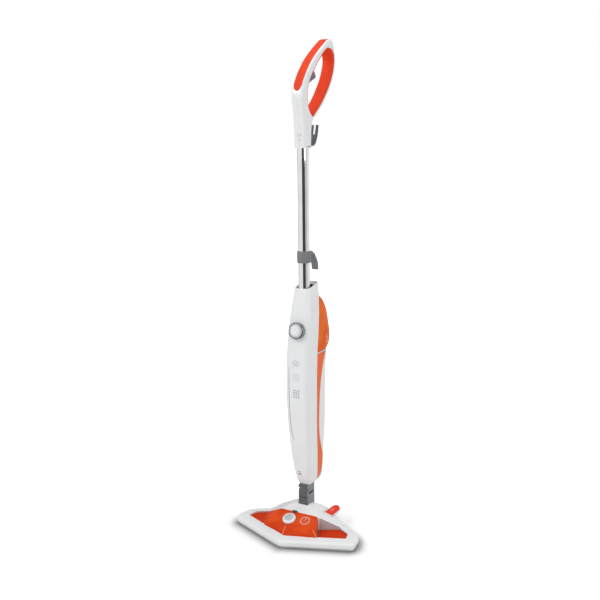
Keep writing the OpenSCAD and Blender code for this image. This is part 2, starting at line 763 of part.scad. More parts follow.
module tank_bay() {
    color("white") difference() {
        union() {
            loft([for (z = [shelf_z + 1, 462, 500, 533, 560, bay_top]) bay_ring(z)]);
            translate([0, 0, shelf_z]) linear_extrude(shelf_t) polygon(concat(
                [[-side_x(455, 5, 0), 5.4 + seam]], [[side_x(455, 5, 0), 5.4 + seam]],
                [for (p = tank_outline(shelf_z + shelf_t, 0)) if (p[1] > 8) p]
            ));
            translate([0, 0, shelf_z]) linear_extrude(shelf_t)
                polygon([for (p = bay_ring(shelf_z + 1)) [p[0], p[1] + (p[1] > 4 ? 3 : 0)]]);
        }
        translate([0, 0, socket_z]) rod_y(socket_r + 0.1, -20, 40);
        translate([-5, back_y(latch_z) - 12.6, shelf_z - 1]) cube([10, 8.2, 10]);
    }
}

// ---- Water tank: flat towards the bay, rounded to the rear
tank_n = 20;
tank_power = 2 / 4;
function tank_outline(z, d) =
    let (w = half_w(z) - d, y0 = lookup(z, tank_front_at) + seam / 2 + d, y1 = lookup(z, tank_back_at) - d)
    [for (j = [0:tank_n]) let (a = 180 * j / tank_n)
        [w * sign(cos(a)) * pow(abs(cos(a)), tank_power), y0 + (y1 - y0) * pow(sin(a), tank_power)]];
tank_heights = [tank_z, 462, 470, 485, 500, 515, 530, 545, 560, 570, 580, 588, tank_top];
filler_z = 522;
filler_tilt = 9.3;
cap_r = 13;
filler_r = 8;
cap_h = 5;

module at_filler() {
    translate([0, lookup(filler_z, tank_front_at) + seam / 2, filler_z]) rotate([-90 - filler_tilt, 0, 0]) children();
}

module water_tank() {
    color("darkorange", 0.6) difference() {
        loft([for (z = tank_heights) at_z(tank_outline(z, 0), z)]);
        difference() {
            loft([for (z = [tank_z + tank_t, 462, 470, 485, 500, 515, 530, 545, 560, 570, 580, tank_top - tank_t - 2])
                at_z(tank_outline(z, tank_t), z)]);
            at_filler() translate([0, 0, -5]) cylinder(r = cap_r + 0.5 + tank_t, h = cap_h + 0.5 + tank_t + 5);
        }
        at_filler() translate([0, 0, -5]) cylinder(r = cap_r + 0.5, h = cap_h + 0.5 + 5);
        at_filler() cylinder(r = filler_r + pin_gap, h = cap_h + 20);
        translate([0, 0, socket_z]) rod_y(nipple_r - 0.8, -20, 20, $fn = 32);
    }
}

module tank_valve() {
    y = lookup(socket_z, tank_front_at) + seam / 2;
    color("darkgray") translate([0, 0, socket_z]) difference() {
        union() {
            rod_y(nipple_r, y - 7, y - 1, $fn = 48);
            rod_y(nipple_r - 1, y - 7, y + 6, $fn = 48);
        }
        rod_y(1.5, y - 20, y + 20, $fn = 32);
    }
}

module tank_cap() {
    color("darkgray") at_filler() {
        difference() {
            translate([0, 0, 0.6]) cylinder(r = cap_r, h = cap_h - 0.6 - 0.2);
            for (s = [-1, 1]) translate([s > 0 ? 2.5 : -9.5, -9, 0]) cube([7, 18, 2.5]);
        }
        cylinder(r = filler_r, h = cap_h + tank_t + 2);
    }
}

module tank_latch() {
    y = back_y(latch_z);
    color("orangered") difference() {
        union() {
            translate([-latch_w / 2, y - 9, latch_z - latch_h / 2]) cube([latch_w, 10.2, latch_h]);
            translate([-4, y - 9, latch_z]) cube([8, 4, shelf_z + shelf_t - latch_z - 0.5]);
        }
        for (i = [-2:2]) translate([-latch_w, y + 0.6, latch_z + i * 3 - 0.6]) cube([2 * latch_w, 3, 1.2]);
    }
}

module latch_spring() {
    y = back_y(latch_z) - 9;
    color("silver") translate([0, y - 14, latch_z]) rotate([-90, 0, 0]) coil(3.4, 0.9, 14, 5);
}

// ---- Works inside the body, from the tank down
works_y = 4;
filter_r = 11;
filter_z = 398;
filter_h = 44;
pump_z = 324;
pump_h = 54;
bracket_z = 168;
bracket_t = 3;
boiler_z = bracket_z + bracket_t;
upper_plate_z = boiler_z + boiler_h;
hose_r = 3.5;

module tank_socket() {
    y = lookup(socket_z - socket_r, tank_front_at) - slide_gap;
    color("black") difference() {
        union() {
            translate([0, 0, socket_z]) rod_y(socket_r, y - 14, y);
            translate([0, 0, socket_z]) rod_y(socket_r + 2, y - 9, y - shell_t - 2.3);
            translate([0, works_y - 8, filter_z + filter_h + 6]) cylinder(r = hose_r + 1.4, h = socket_z - filter_z - filter_h - 6);
        }
        translate([0, 0, socket_z]) rod_y(nipple_r + slide_gap, y - 9, y + 1, $fn = 48);
        translate([0, works_y - 8, filter_z]) cylinder(r = hose_r + 0.05, h = socket_z - filter_z);
    }
}

module water_hose() {
    color("whitesmoke") translate([0, works_y - 8, filter_z + filter_h]) difference() {
        cylinder(r = hose_r, h = socket_z - filter_z - filter_h - 1);
        translate([0, 0, -1]) cylinder(r = 2, h = 100, $fn = 32);
    }
}

module scale_filter() {
    color("lightblue") translate([0, works_y - 8, filter_z]) rotate_extrude() polygon([
        [2, 0], [filter_r - 2, 0], [filter_r, 3], [filter_r, filter_h - 4], [filter_r - 3, filter_h], [2, filter_h]
    ]);
}

module feed_hose() {
    color("whitesmoke") translate([0, works_y - 8, pump_z + pump_h]) difference() {
        cylinder(r = hose_r, h = filter_z - pump_z - pump_h);
        translate([0, 0, -1]) cylinder(r = 2, h = 100, $fn = 32);
    }
}

module pump() {
    color("black") translate([0, works_y - 8, pump_z]) difference() {
        union() {
            translate([-15, -13, 8]) cube([30, 28, 34]);
            cylinder(r = 9, h = pump_h - 4);
            cylinder(r = 5, h = pump_h);
            translate([0, 0, upper_plate_z + bracket_t - pump_z]) cylinder(r = 7, h = pump_z - upper_plate_z - bracket_t + 1);
        }
        translate([0, 0, upper_plate_z - pump_z]) cylinder(r = 2, h = 200, $fn = 32);
    }
}

module boiler() {
    color("silver") difference() {
        union() {
            translate([0, works_y, boiler_z]) cylinder(r = boiler_r, h = boiler_h);
            translate([-8, works_y, boiler_z + 20]) cube([16, boiler_r + 3, boiler_h - 40]);
        }
        translate([0, works_y, boiler_z + 4]) cylinder(r = boiler_r - 4, h = boiler_h - 8);
        translate([0, works_y - 8, boiler_z + boiler_h - 6]) cylinder(r = 2, h = 10, $fn = 32);
    }
}

module thermostats() {
    color("tan") for (z = [boiler_z + 36, boiler_z + boiler_h - 36])
        translate([0, works_y, z]) rod_y(7, boiler_r + 3, boiler_r + 11);
}

// Two plates that hold the boiler between the casings, joined by a strut
module boiler_bracket() {
    color("gainsboro") difference() {
        union() {
            for (z = [bracket_z, upper_plate_z]) translate([0, 0, z]) linear_extrude(bracket_t)
                polygon(body_section(z, shell_t + slide_gap + 0.2));
            for (s = [-1, 1]) translate([s * (boiler_r + 3.5) - 1.5, works_y - 6, bracket_z]) cube([3, 12, upper_plate_z - bracket_z + 1]);
        }
        translate([0, neck_y, bracket_z - 1]) cylinder(r = steam_hose_r + 0.2, h = 5);
        translate([0, works_y - 8, upper_plate_z - 1]) cylinder(r = 3, h = 10);
    }
}

module steam_hose() {
    color("black") translate([0, neck_y, roll_z + 20]) difference() {
        cylinder(r = steam_hose_r, h = boiler_z - roll_z - 20);
        translate([0, 0, -1]) cylinder(r = 2, h = 100, $fn = 32);
    }
}

// ---- Steam regulator
module knob_bezel() {
    color("dimgray") at_knob() difference() {
        rotate_extrude() polygon([
            [6, 0.05], [knob_r + 2.4, 0.05], [knob_r + 2.4, knob_h - 3.4], [knob_r + 1.6, knob_h - 2.4],
            [knob_r + 0.4, knob_h - 2.4], [knob_r + 0.4, 1.2], [6, 1.2]
        ]);
    }
}

module regulator_knob() {
    color("lightgray") at_knob() difference() {
        union() {
            rotate_extrude() polygon([
                [0, 1.5], [knob_r, 1.5], [knob_r, knob_h - 2.6], [knob_r - 1, knob_h - 1], [knob_r - 2.4, knob_h], [0, knob_h]
            ]);
            translate([0, 0, -12]) cylinder(r = 3, h = 14);
        }
        translate([0, 0, knob_h - 1]) cylinder(r = knob_r - 4.4, h = 3);
        for (a = [7:15:352]) rotate([0, 0, a]) translate([knob_r - 2.2, -0.7, 5.2]) cube([4, 1.4, knob_h - 5.8]);
    }
}

module knob_cap() {
    color("white") at_knob() translate([0, 0, knob_h - 1]) difference() {
        cylinder(r = knob_r - 4.5, h = 1.6);
        translate([-0.8, 4, 1.1]) cube([1.6, 7, 2]);
    }
}

module regulator_valve() {
    color("darkslategray") at_knob() difference() {
        union() {
            translate([0, 0, -20]) cylinder(r = 9, h = 20 - shell_t - 0.1);
            translate([0, 0, -26]) cylinder(r = 5, h = 7);
        }
        translate([0, 0, -13]) cylinder(r = 3 + pin_gap, h = 20);
    }
}

// Thin line let into the front casing left of the three symbols, bent to the right at its lower end
trim_half = 20;
trim_top = 430;
trim_low = 226;
trim_w = 1.8;
trim_n = 13;
trim_heights = [for (i = [0:trim_n]) trim_top - (trim_top - trim_low) * pow(i / (trim_n + 1), 0.75)];
function trim_x(z) = -trim_half * sqrt(max(0, 1 - pow(max(0, 300 - z) / (300 - trim_low + 1), 2.2)));
function trim_half_w(z) = trim_w / 2 * min(1, 0.4 + (trim_top - z) / 70, 0.3 + (z - trim_low) / 40);
function front_skin(z, x) = inside_front(z, x) - shell_t / 2 - 0.4;
function trim_ring(z) =
    let (x = trim_x(z), w = trim_half_w(z), y = front_skin(z, x))
    [[x - w, y - 0.25, z], [x + w, y - 0.25, z], [x + w, y + 0.35, z], [x - w, y + 0.35, z]];

module front_trim() {
    color("darkgray") loft([for (i = [trim_n:-1:0]) trim_ring(trim_heights[i])]);
}

// ---- Tube and what holds it
tube_z = 560;
tube_end = tube_z + tube_l;
socket_step = 4;
socket_t = 1.8;
floor_plate_z = 597;
floor_plate_t = 3;

// Cord gland in the back wall of the rear collar, square to that wall
gland_z = 614;
rim_back_z = rim_z + rim_slope * (back_y(rim_z) - front_y(rim_z));
gland_slope = (back_y(low_rim_z) - back_y(rim_z)) / (rim_back_z - low_rim_z);
gland_y = back_y(low_rim_z) - gland_slope * (gland_z - low_rim_z);
gland_tilt = atan(gland_slope);
barrel_r = cord_bore_r + 1.4;

module at_gland() {
    translate([0, gland_y, gland_z]) rotate([gland_tilt - 90, 0, 0]) children();
}

module tube_socket() {
    color("lightgray") difference() {
        union() {
            translate([0, 0, tube_z - socket_step])
                cylinder(r = tube_r + socket_t, h = floor_plate_z + floor_plate_t - tube_z + socket_step);
            translate([0, 0, floor_plate_z]) linear_extrude(floor_plate_t)
                polygon(body_section(floor_plate_z, shell_t + slide_gap));
        }
        translate([0, 0, tube_z]) cylinder(r = tube_r + pin_gap, h = 100);
        translate([0, 0, tube_z - 20]) cylinder(r = tube_r - 3, h = 100);
    }
}

module cord_gland() {
    color("dimgray") at_gland() difference() {
        rotate_extrude() polygon([
            [0, -9], [barrel_r, -9], [barrel_r, -6], [barrel_r + 1.6, -6], [barrel_r + 1.6, -shell_t - 0.05],
            [barrel_r, -shell_t - 0.05], [barrel_r, 0.05], [barrel_r + 1.5, 0.05], [barrel_r + 1.5, 2],
            [barrel_r, 3], [barrel_r - 0.3, 14], [0, 14]
        ]);
        translate([0, 0, -10]) cylinder(r = cord_bore_r, h = 30);
    }
}

snap_z = 979;
// Height of the tube's top that the handle's points are drawn for
drawn_end = 1010;
snap_r = 5;

module tube() {
    color("silver") difference() {
        translate([0, 0, tube_z]) cylinder(r = tube_r, h = tube_end - tube_z);
        translate([0, 0, tube_z - 1]) cylinder(r = tube_r - tube_t, h = tube_end - tube_z + 2);
        translate([0, 0, snap_z + tube_end - drawn_end]) rod_y(snap_r + slide_gap, -30, 0);
    }
}

clamp_t = 2.8;
lower_hook_outer = [[15, 27], [26, 26], [37, 19], [48, 8], [56, -6], [59, -24]];
lower_hook_inner = [[54, -24], [50, -8], [43, 3], [33, 12], [24, 16], [15, 17]];

module lower_hook() {
    color("gray") translate([0, 0, clamp_z]) difference() {
        union() {
            cylinder(r = tube_r + clamp_t, h = clamp_h);
            slab_x(hook_half, concat(smooth_path(lower_hook_outer, 4), smooth_path(lower_hook_inner, 4)));
            translate([-hook_half + 2, tube_r + 1, 4]) cube([2 * hook_half - 4, 7, clamp_h - 8]);
        }
        translate([0, 0, -1]) cylinder(r = tube_r + 0.02, h = clamp_h + 2);
        translate([0, tube_r + 5, 9]) rod_x(core_r, -20, 20, $fn = 32);
        translate([0, tube_r + 5, 9]) rod_x(screw_head_r + head_gap, hook_half - 3.5, 20, $fn = 32);
    }
}

module hook_screw() {
    color("silver") translate([0, tube_r + 5, clamp_z + 9]) {
        rod_x(screw_head_r, hook_half - 3.5, hook_half - 2, $fn = 32);
        rod_x(screw_r, 3 - hook_half, hook_half - 3, $fn = 32);
    }
}

// ---- Handle: side outline and hand opening as [y, z] points
handle_z = 948;
handle_points = [
    [-15.5, 948], [-17.5, 985], [-19.5, 1020], [-24.2, 1044], [-28.5, 1064], [-22.5, 1088], [-7.5, 1112],
    [9, 1131], [27, 1149], [49, 1166], [71, 1181], [93, 1195], [109, 1203], [122, 1203], [131, 1194],
    [136, 1178], [138, 1156], [134, 1135], [125.5, 1115], [114, 1096], [99, 1078], [83, 1061],
    [66, 1045], [48, 1031], [33, 1020], [23, 1008], [18, 994], [16.5, 975], [15.5, 948]
];
opening_points = [
    [18, 1026], [7, 1037], [0.5, 1052], [0.5, 1070], [3.5, 1086], [14, 1105], [31, 1124], [47, 1141],
    [65, 1156], [83, 1170], [96, 1177], [108, 1178], [119, 1172], [126, 1162], [127, 1150],
    [122, 1136], [115, 1121.5], [104.5, 1104.5], [90.5, 1087], [74.5, 1069], [58.5, 1054],
    [41, 1040], [28, 1030]
];

// Edge of the soft lining on the sides of the handle
liner_points = [
    [18, 1021.5], [4, 1034], [-3.5, 1051], [-3.5, 1071], [0, 1088], [11, 1108], [28.5, 1127.5], [45, 1144.5],
    [63, 1159.5], [81, 1173.5], [95, 1181], [109, 1182.5], [124, 1179], [133.5, 1168], [136, 1153],
    [132.5, 1135], [124, 1115.8], [112.8, 1097.8], [97.8, 1079.8], [81.8, 1062.6], [64.8, 1046.6],
    [47.2, 1032.9], [32.5, 1021.5]
];
liner_half = handle_w / 2 - 1;
liner_plate = 2;

module at_handle() { translate([0, 0, tube_end - drawn_end]) children(); }
module handle_side() { polygon(smooth_path(handle_points, 3)); }
module opening_side() { polygon(smooth_loop(opening_points, 3)); }
module liner_band() {
    difference() {
        offset(delta = grip_t) opening_side();
        opening_side();
    }
}
module liner_face() {
    difference() {
        polygon(smooth_loop(liner_points, 3));
        opening_side();
    }
}
module inlay_side(d) {
    intersection() {
        difference() {
            offset(delta = 1) handle_side();
            offset(delta = -grip_t - d) handle_side();
        }
        polygon([[-60, 1064 - d], [-8, 1064 - d], [40, 1130], [114 + d, 1190], [112 + d, 1240], [-60, 1240]]);
    }
}
module side_solid(x0, x1) {
    translate([x0, 0, 0]) rotate([90, 0, 90]) linear_extrude(x1 - x0) children();
}

trigger_at = [28, 1135];
trigger_boss_r = 4;
trigger_pin_r = 1.5;
trigger_slot = [
    [-17, 1077], [-4, 1078], [14, 1084], [64, 1100], [64, 1124], [44, 1146], [27, 1141], [10, 1123],
    [-6, 1104], [-17, 1092]
];
handle_spots = [[-4, 1036], [60, 1165], [111, 1191]];
switch_at = [-11, 1066];
hook_z = 958;
hook_pad_y = 19;
stud_r = 3;

module handle_solid(x0, x1) {
    difference() {
        union() {
            side_solid(x0, x1) difference() {
                handle_side();
                offset(delta = grip_t) opening_side();
            }
            intersection() {
                translate([0, 0, hook_z]) rod_y(9, 10, hook_pad_y);
                side_solid(x0, x1) translate([0, handle_z]) square([40, 40]);
            }
        }
        for (s = [-1, 1]) side_solid(s > 0 ? liner_half - liner_plate : -handle_w, s > 0 ? handle_w : liner_plate - liner_half)
            polygon(smooth_loop(liner_points, 3));
        side_solid(-inlay_w / 2 - 0.1, inlay_w / 2 + 0.1) inlay_side(0.1);
        translate([0, 0, handle_z - 1]) cylinder(r = tube_r + pin_gap, h = drawn_end - handle_z + 1.5);
        side_solid(-trigger_w / 2 - 0.5, trigger_w / 2 + 0.5) polygon(trigger_slot);
        side_solid(-5.6, 5.6) translate([switch_at[0] - 6.3, switch_at[1] - 10.3]) square([12.6, 22]);
        translate([0, trigger_at[0], trigger_at[1]]) rod_x(trigger_pin_r + pin_gap, -11, 11, $fn = 32);
        translate([0, 0, hook_z]) rod_y(stud_r + pin_gap, 10, 30, $fn = 32);
        translate([0, 0, snap_z]) rod_y(snap_r + slide_gap, -40, 0);
        for (p = handle_spots) translate([0, p[0], p[1]]) {
            rod_x(core_r, -11, 0, $fn = 32);
            rod_x(pass_r, 0, 20, $fn = 32);
            rod_x(screw_head_r + head_gap, handle_w / 2 - 2.5, 20, $fn = 32);
        }
    }
}

module left_handle_shell() { color("white") at_handle() handle_solid(-handle_w / 2, 0); }
module right_handle_shell() { color("white") at_handle() handle_solid(0, handle_w / 2); }

module handle_screws() {
    color("silver") at_handle() for (p = handle_spots) translate([0, p[0], p[1]]) {
        rod_x(screw_head_r, handle_w / 2 - 2.5, handle_w / 2 - 0.8, $fn = 32);
        rod_x(screw_r, -10, handle_w / 2 - 2, $fn = 32);
    }
}

module grip_inlay() {
    color("orangered") at_handle() side_solid(-inlay_w / 2, inlay_w / 2) intersection() {
        inlay_side(0);
        offset(delta = 0.4) handle_side();
    }
}

module grip_liner() {
    color("orangered") at_handle() difference() {
        union() {
            side_solid(-liner_half, liner_half) liner_band();
            for (s = [-1, 1]) side_solid(s > 0 ? liner_half - liner_plate : -liner_half, s > 0 ? liner_half : liner_plate - liner_half)
                liner_face();
        }
        side_solid(-trigger_w / 2 - 0.5, trigger_w / 2 + 0.5) polygon(trigger_slot);
    }
}

trigger_points = [
    [31.5, 1138], [42, 1130], [52, 1118], [54.5, 1113], [52, 1109.5], [30, 1100], [12, 1092.5], [4, 1086],
    [-4, 1080], [-8, 1080.5], [-4, 1089], [4, 1103], [14, 1118], [24, 1132]
];

module trigger() {
    color("slategray") at_handle() difference() {
        union() {
            slab_x(trigger_w / 2, trigger_points);
            translate([0, trigger_at[0], trigger_at[1]]) rod_x(trigger_boss_r, -trigger_w / 2, trigger_w / 2);
        }
        translate([0, trigger_at[0], trigger_at[1]]) rod_x(trigger_pin_r + pin_gap, -20, 20, $fn = 32);
    }
}

module trigger_pin() {
    color("silver") at_handle() translate([0, trigger_at[0], trigger_at[1]]) rod_x(trigger_pin_r, -10.8, 10.8, $fn = 32);
}

module trigger_spring() {
    color("silver") at_handle() translate([0, -16.6, 1085]) rotate([-90, 0, 0]) coil(2.2, 0.7, 9.9, 4);
}

module microswitch() {
    color("black") at_handle() union() {
        side_solid(-5, 5) translate([switch_at[0] - 6, switch_at[1] - 10]) square([12, 18]);
        translate([0, switch_at[0] + 3, switch_at[1] + 8]) cylinder(r = 1, h = 3, $fn = 24);
    }
}

upper_hook_outer = [[23, -5], [34, -5.5], [44, -1.5], [51, 8], [57, 21], [62, 44]];
upper_hook_inner = [[58, 44], [52, 22], [46, 11], [39.5, 3.5], [32, 0.5], [23, 1]];

module upper_hook() {
    color("dimgray") at_handle() translate([0, 0, hook_z]) difference() {
        union() {
            slab_x(hook_half + 1, concat(smooth_path(upper_hook_outer, 4), smooth_path(upper_hook_inner, 4)));
            rod_y(8, hook_pad_y + slide_gap, 23.5);
            rod_y(stud_r, tube_r + 0.6, 22, $fn = 32);
        }
        for (s = [-1, 1]) translate([s > 0 ? 5 : -25, 23.6, -20]) cube([20, 17, 26]);
        translate([-3, 40, 37]) cube([6, 40, 30]);
    }
}

module snap_button() {
    color("white") at_handle() translate([0, 0, snap_z]) {
        rod_y(snap_r, -18.6, -9);
        rod_y(snap_r + 1, -10.5, -9);
    }
}

module snap_spring() {
    color("silver") at_handle() translate([0, -8.9, snap_z]) rotate([-90, 0, 0]) coil(3, 0.8, 21.5, 6);
}

cloth_pad();
pad_frame();
base_plate();
base_screws();
head_cover();
clear_cover();
steam_manifold();
tilt_pin();
pedal_pin();
pedal_spring();
selector_knob();
selector_valve();
foot_pedal();
pedal_pad();
swivel_yoke();
roll_pin();
neck_tongue();
front_shell();
rear_shell();
left_side_strip();
right_side_strip();
rear_collar();
tank_bay();
front_trim();
knob_bezel();
regulator_knob();
knob_cap();
regulator_valve();
water_tank();
tank_valve();
tank_cap();
tank_latch();
latch_spring();
tank_socket();
scale_filter();
water_hose();
feed_hose();
pump();
boiler();
boiler_bracket();
thermostats();
steam_hose();
tube_socket();
cord_gland();
shell_screws();
tube();
lower_hook();
hook_screw();
left_handle_shell();
right_handle_shell();
grip_inlay();
grip_liner();
trigger();
trigger_pin();
trigger_spring();
microswitch();
upper_hook();
snap_button();
snap_spring();
handle_screws();
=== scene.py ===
import math

import bmesh
import bpy
from mathutils import Matrix, Vector
from mathutils.geometry import tessellate_polygon

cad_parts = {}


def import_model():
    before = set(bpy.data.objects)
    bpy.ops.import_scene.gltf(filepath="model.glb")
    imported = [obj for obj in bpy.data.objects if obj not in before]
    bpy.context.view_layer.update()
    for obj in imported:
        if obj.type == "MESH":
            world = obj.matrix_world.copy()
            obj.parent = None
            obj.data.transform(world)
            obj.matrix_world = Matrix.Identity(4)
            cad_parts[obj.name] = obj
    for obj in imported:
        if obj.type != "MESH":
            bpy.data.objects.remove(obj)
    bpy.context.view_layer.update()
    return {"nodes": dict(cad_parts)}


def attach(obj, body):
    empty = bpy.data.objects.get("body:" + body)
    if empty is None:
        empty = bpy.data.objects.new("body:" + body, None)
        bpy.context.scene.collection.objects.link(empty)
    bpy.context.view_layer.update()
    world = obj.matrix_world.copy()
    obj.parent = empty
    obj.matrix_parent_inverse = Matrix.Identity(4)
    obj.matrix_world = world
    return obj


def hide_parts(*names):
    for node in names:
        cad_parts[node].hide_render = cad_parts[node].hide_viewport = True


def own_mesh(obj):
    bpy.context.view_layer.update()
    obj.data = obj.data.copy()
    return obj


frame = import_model()
MM = 0.001


# ---------------------------------------------------------------- shader sums
class Wire:
    """One shader value, so that sums on it add their own Math nodes."""

    def __init__(self, finish, socket):
        self.finish = finish
        self.socket = socket

    def math(self, operation, *values):
        return self.finish.add("ShaderNodeMath", {"operation": operation}, *values)

    def __add__(self, other):
        return self.math("ADD", self, other)

    def __radd__(self, other):
        return self.math("ADD", other, self)

    def __sub__(self, other):
        return self.math("SUBTRACT", self, other)

    def __rsub__(self, other):
        return self.math("SUBTRACT", other, self)

    def __mul__(self, other):
        return self.math("MULTIPLY", self, other)

    def __rmul__(self, other):
        return self.math("MULTIPLY", other, self)

    def between(self, low, high):
        """0 below low, 1 above high, smooth between them."""
        return self.finish.add(
            "ShaderNodeMapRange",
            {"interpolation_type": "SMOOTHSTEP", "clamp": True},
            Value=self, **{"From Min": low, "From Max": high},
        )


class Finish:
    """A material that is put together node by node."""

    def __init__(self, name):
        self.material = bpy.data.materials.new(name)
        self.material.use_nodes = True
        self.tree = self.material.node_tree
        self.surface = self.tree.nodes["Principled BSDF"]

    def add(self, kind, settings=None, *values, out=0, **named):
        node = self.tree.nodes.new(kind)
        for key, value in (settings or {}).items():
            setattr(node, key, value)
        for index, value in enumerate(values):
            self.feed(node.inputs[index], value)
        for key, value in named.items():
            self.feed(node.inputs[key], value)
        return Wire(self, node.outputs[out])

    def feed(self, socket, value):
        if isinstance(value, Wire):
            self.tree.links.new(value.socket, socket)
        else:
            socket.default_value = value

    def place(self):
        return self.add("ShaderNodeTexCoord", out=3)

    def axis(self, index):
        return self.add("ShaderNodeSeparateXYZ", None, self.place(), out=index)

    def noise(self, scale, detail=3.0, rough=0.55):
        return self.add(
            "ShaderNodeTexNoise", None, Vector=self.place(), Scale=scale, Detail=detail, Roughness=rough
        )

    def cells(self, scale, out=0):
        return self.add("ShaderNodeTexVoronoi", None, Vector=self.place(), Scale=scale, out=out)

    def mix(self, factor, first, second):
        node = self.tree.nodes.new("ShaderNodeMix")
        node.data_type = "RGBA"
        self.feed(node.inputs[0], factor)
        self.feed(node.inputs[6], first)
        self.feed(node.inputs[7], second)
        return Wire(self, node.outputs[2])

    def bump(self, height, strength=0.3, distance=0.0004):
        return self.add("ShaderNodeBump", None, Height=height, Strength=strength, Distance=distance)

    def set(self, **named):
        for key, value in named.items():
            self.feed(self.surface.inputs[key.replace("_", " ")], value)
        return self.material


def tone(red, green, blue):
    """A linear colour from 0-255 display values."""
    parts = []
    for value in (red, green, blue):
        level = value / 255
        parts.append(level / 12.92 if level < 0.04045 else ((level + 0.055) / 1.055) ** 2.4)
    return (*parts, 1.0)


def moulded(name, colour, rough=0.3, coat=0.25, grain=0.05, scale=900.0, spread=0.06, gloss=0.5):
    """Moulded plastic with faint flow marks and a fine orange-peel skin."""
    finish = Finish(name)
    flow = finish.noise(14.0, 2.0)
    fine = finish.noise(scale, 2.0)
    darker = tuple(channel * (1 - spread) for channel in colour[:3]) + (1.0,)
    base = finish.mix(flow.between(0.3, 0.7), darker, colour)
    return finish.set(
        Base_Color=base,
        Roughness=rough + (flow - 0.5) * 0.08,
        Coat_Weight=coat,
        Coat_Roughness=0.12,
        Specular_IOR_Level=gloss,
        IOR=1.48,
        Normal=finish.bump(fine, grain, 0.0001),
    )


def metal(name, colour, rough, streak=0.0):
    finish = Finish(name)
    grain = finish.noise(420.0, 4.0)
    smear = finish.noise(35.0, 2.0)
    return finish.set(
        Base_Color=finish.mix(smear.between(0.35, 0.7), colour,
                              tuple(c * 0.93 for c in colour[:3]) + (1.0,)),
        Metallic=1.0,
        Roughness=rough + (smear - 0.5) * 0.03 + (grain - 0.5) * streak,
        Normal=finish.bump(grain, 0.02 + streak, 0.00005),
    )


def tinted(name, colour, deep, clearness, rough=0.08, gloss=0.06, coat=0.03, depth=None):
    """See-through tinted plastic: mostly its own colour, with painted shade that makes it deeper in its low
    part when a depth span is given.
    """
    finish = Finish(name)
    cloud = finish.noise(22.0, 2.0)
    full = cloud.between(0.35, 0.65)
    # painted shade: deeper colour towards the low part
    if depth:
        full = (0.35 + 0.65 * full) * (0.1 + 0.9 * finish.axis(2).between(depth[0] * MM, depth[1] * MM))
    base = finish.mix(full, deep, colour)
    return finish.set(
        Base_Color=base,
        Roughness=rough + cloud * 0.03,
        Transmission_Weight=clearness,
        IOR=1.3,
        Specular_IOR_Level=gloss,
        Coat_Weight=coat,
        Coat_Roughness=0.1,
        Normal=finish.bump(finish.noise(260.0, 1.0), 0.02, 0.0001),
    )


def soft_touch(name, colour):
    finish = Finish(name)
    grain = finish.cells(1700.0)
    wear = finish.noise(40.0, 3.0)
    base = finish.mix(wear.between(0.3, 0.8), colour, tuple(c * 0.88 for c in colour[:3]) + (1.0,))
    return finish.set(
        Base_Color=base,
        Roughness=0.46 + wear * 0.16,
        Specular_IOR_Level=0.12,
        Normal=finish.bump(grain, 0.12, 0.00012),
    )


def speckled(name, colour, lighter, painted_light_from=None):
    """Spark-eroded grey plastic: fine light and dark specks, and painted light that makes it paler from an X
    in mm on.
    """
    finish = Finish(name)
    speck = finish.noise(950.0, 3.0, 0.7)
    base = finish.mix(speck.between(0.45, 0.68), colour, lighter)
    # painted light: past that X the side is painted paler, as if lit
    if painted_light_from:
        low, high = (tuple(c * 1.9 for c in shade[:3]) + (1.0,) for shade in (colour, lighter))
        side = finish.mix(speck.between(0.4, 0.62), low, high)
        base = finish.mix(finish.axis(0).between(painted_light_from * MM, (painted_light_from + 0.5) * MM), base, side)
    return finish.set(
        Base_Color=base, Roughness=0.5 + speck * 0.12, Normal=finish.bump(speck, 0.35, 0.00025)
    )


def looped_cloth(name):
    finish = Finish(name)
    loops = finish.cells(420.0)
    patch = finish.noise(30.0, 3.0)
    shade = finish.mix(loops.between(0.0, 0.7), tone(238, 238, 234), tone(205, 206, 204))
    return finish.set(
        Base_Color=finish.mix(patch.between(0.3, 0.8), shade, tone(222, 222, 219)),
        Roughness=0.92,
        Sheen_Weight=0.35,
        Normal=finish.bump(loops + patch * 0.4, 0.9, 0.0012),
    )


WHITE = moulded("white_plastic", tone(238, 239, 240), 0.26, 0.35, 0.04, 700.0, 0.02)
WHITE_SHEEN = moulded("white_satin", tone(229, 230, 232), 0.38, 0.15, 0.06, 700.0, 0.03)
LIGHT_GREY = moulded("light_grey_plastic", tone(196, 199, 202), 0.36, 0.1)
INK_LIGHT = moulded("pale_print", tone(214, 206, 204), 0.45, 0.0)
GREY_INK = moulded("grey_print", tone(186, 189, 192), 0.45, 0.0)
DARK_INK = moulded("dark_print", tone(120, 124, 128), 0.45, 0.0)
DARK = moulded("dark_plastic", tone(52, 55, 58), 0.42, 0.1)
BLACK_RUBBER = soft_touch("black_rubber", tone(38, 38, 40))
HOSE = soft_touch("hose_rubber", tone(224, 224, 218))
RED_GRIP = soft_touch("red_grip", tone(238, 72, 36))
RED_PAD = soft_touch("red_pad", tone(238, 66, 42))
# painted light on the neck's right side, from x 12.4 mm on
NECK = speckled("neck_grey", tone(88, 90, 93), tone(120, 123, 126), 12.4)
NECK_DARK = speckled("neck_dark", tone(66, 68, 71), tone(92, 95, 98))
HOOK = speckled("hook_grey", tone(112, 115, 118), tone(146, 149, 152))
DARK_HOOK = speckled("dark_hook", tone(84, 87, 90), tone(110, 113, 116))
TRIGGER = moulded("trigger_grey", tone(88, 98, 108), 0.4, 0.15)
ORANGE = moulded("orange_plastic", tone(246, 112, 52), 0.36, 0.05, 0.05, 700.0, 0.06, 0.15)
# painted shade: the window is painted deeper in its low part, from 15 to 40 mm up
WINDOW_FINISH = tinted(
    "orange_window", tone(240, 88, 36), tone(212, 62, 26), 0.1, 0.2, 0.0, 0.07, (15, 40))
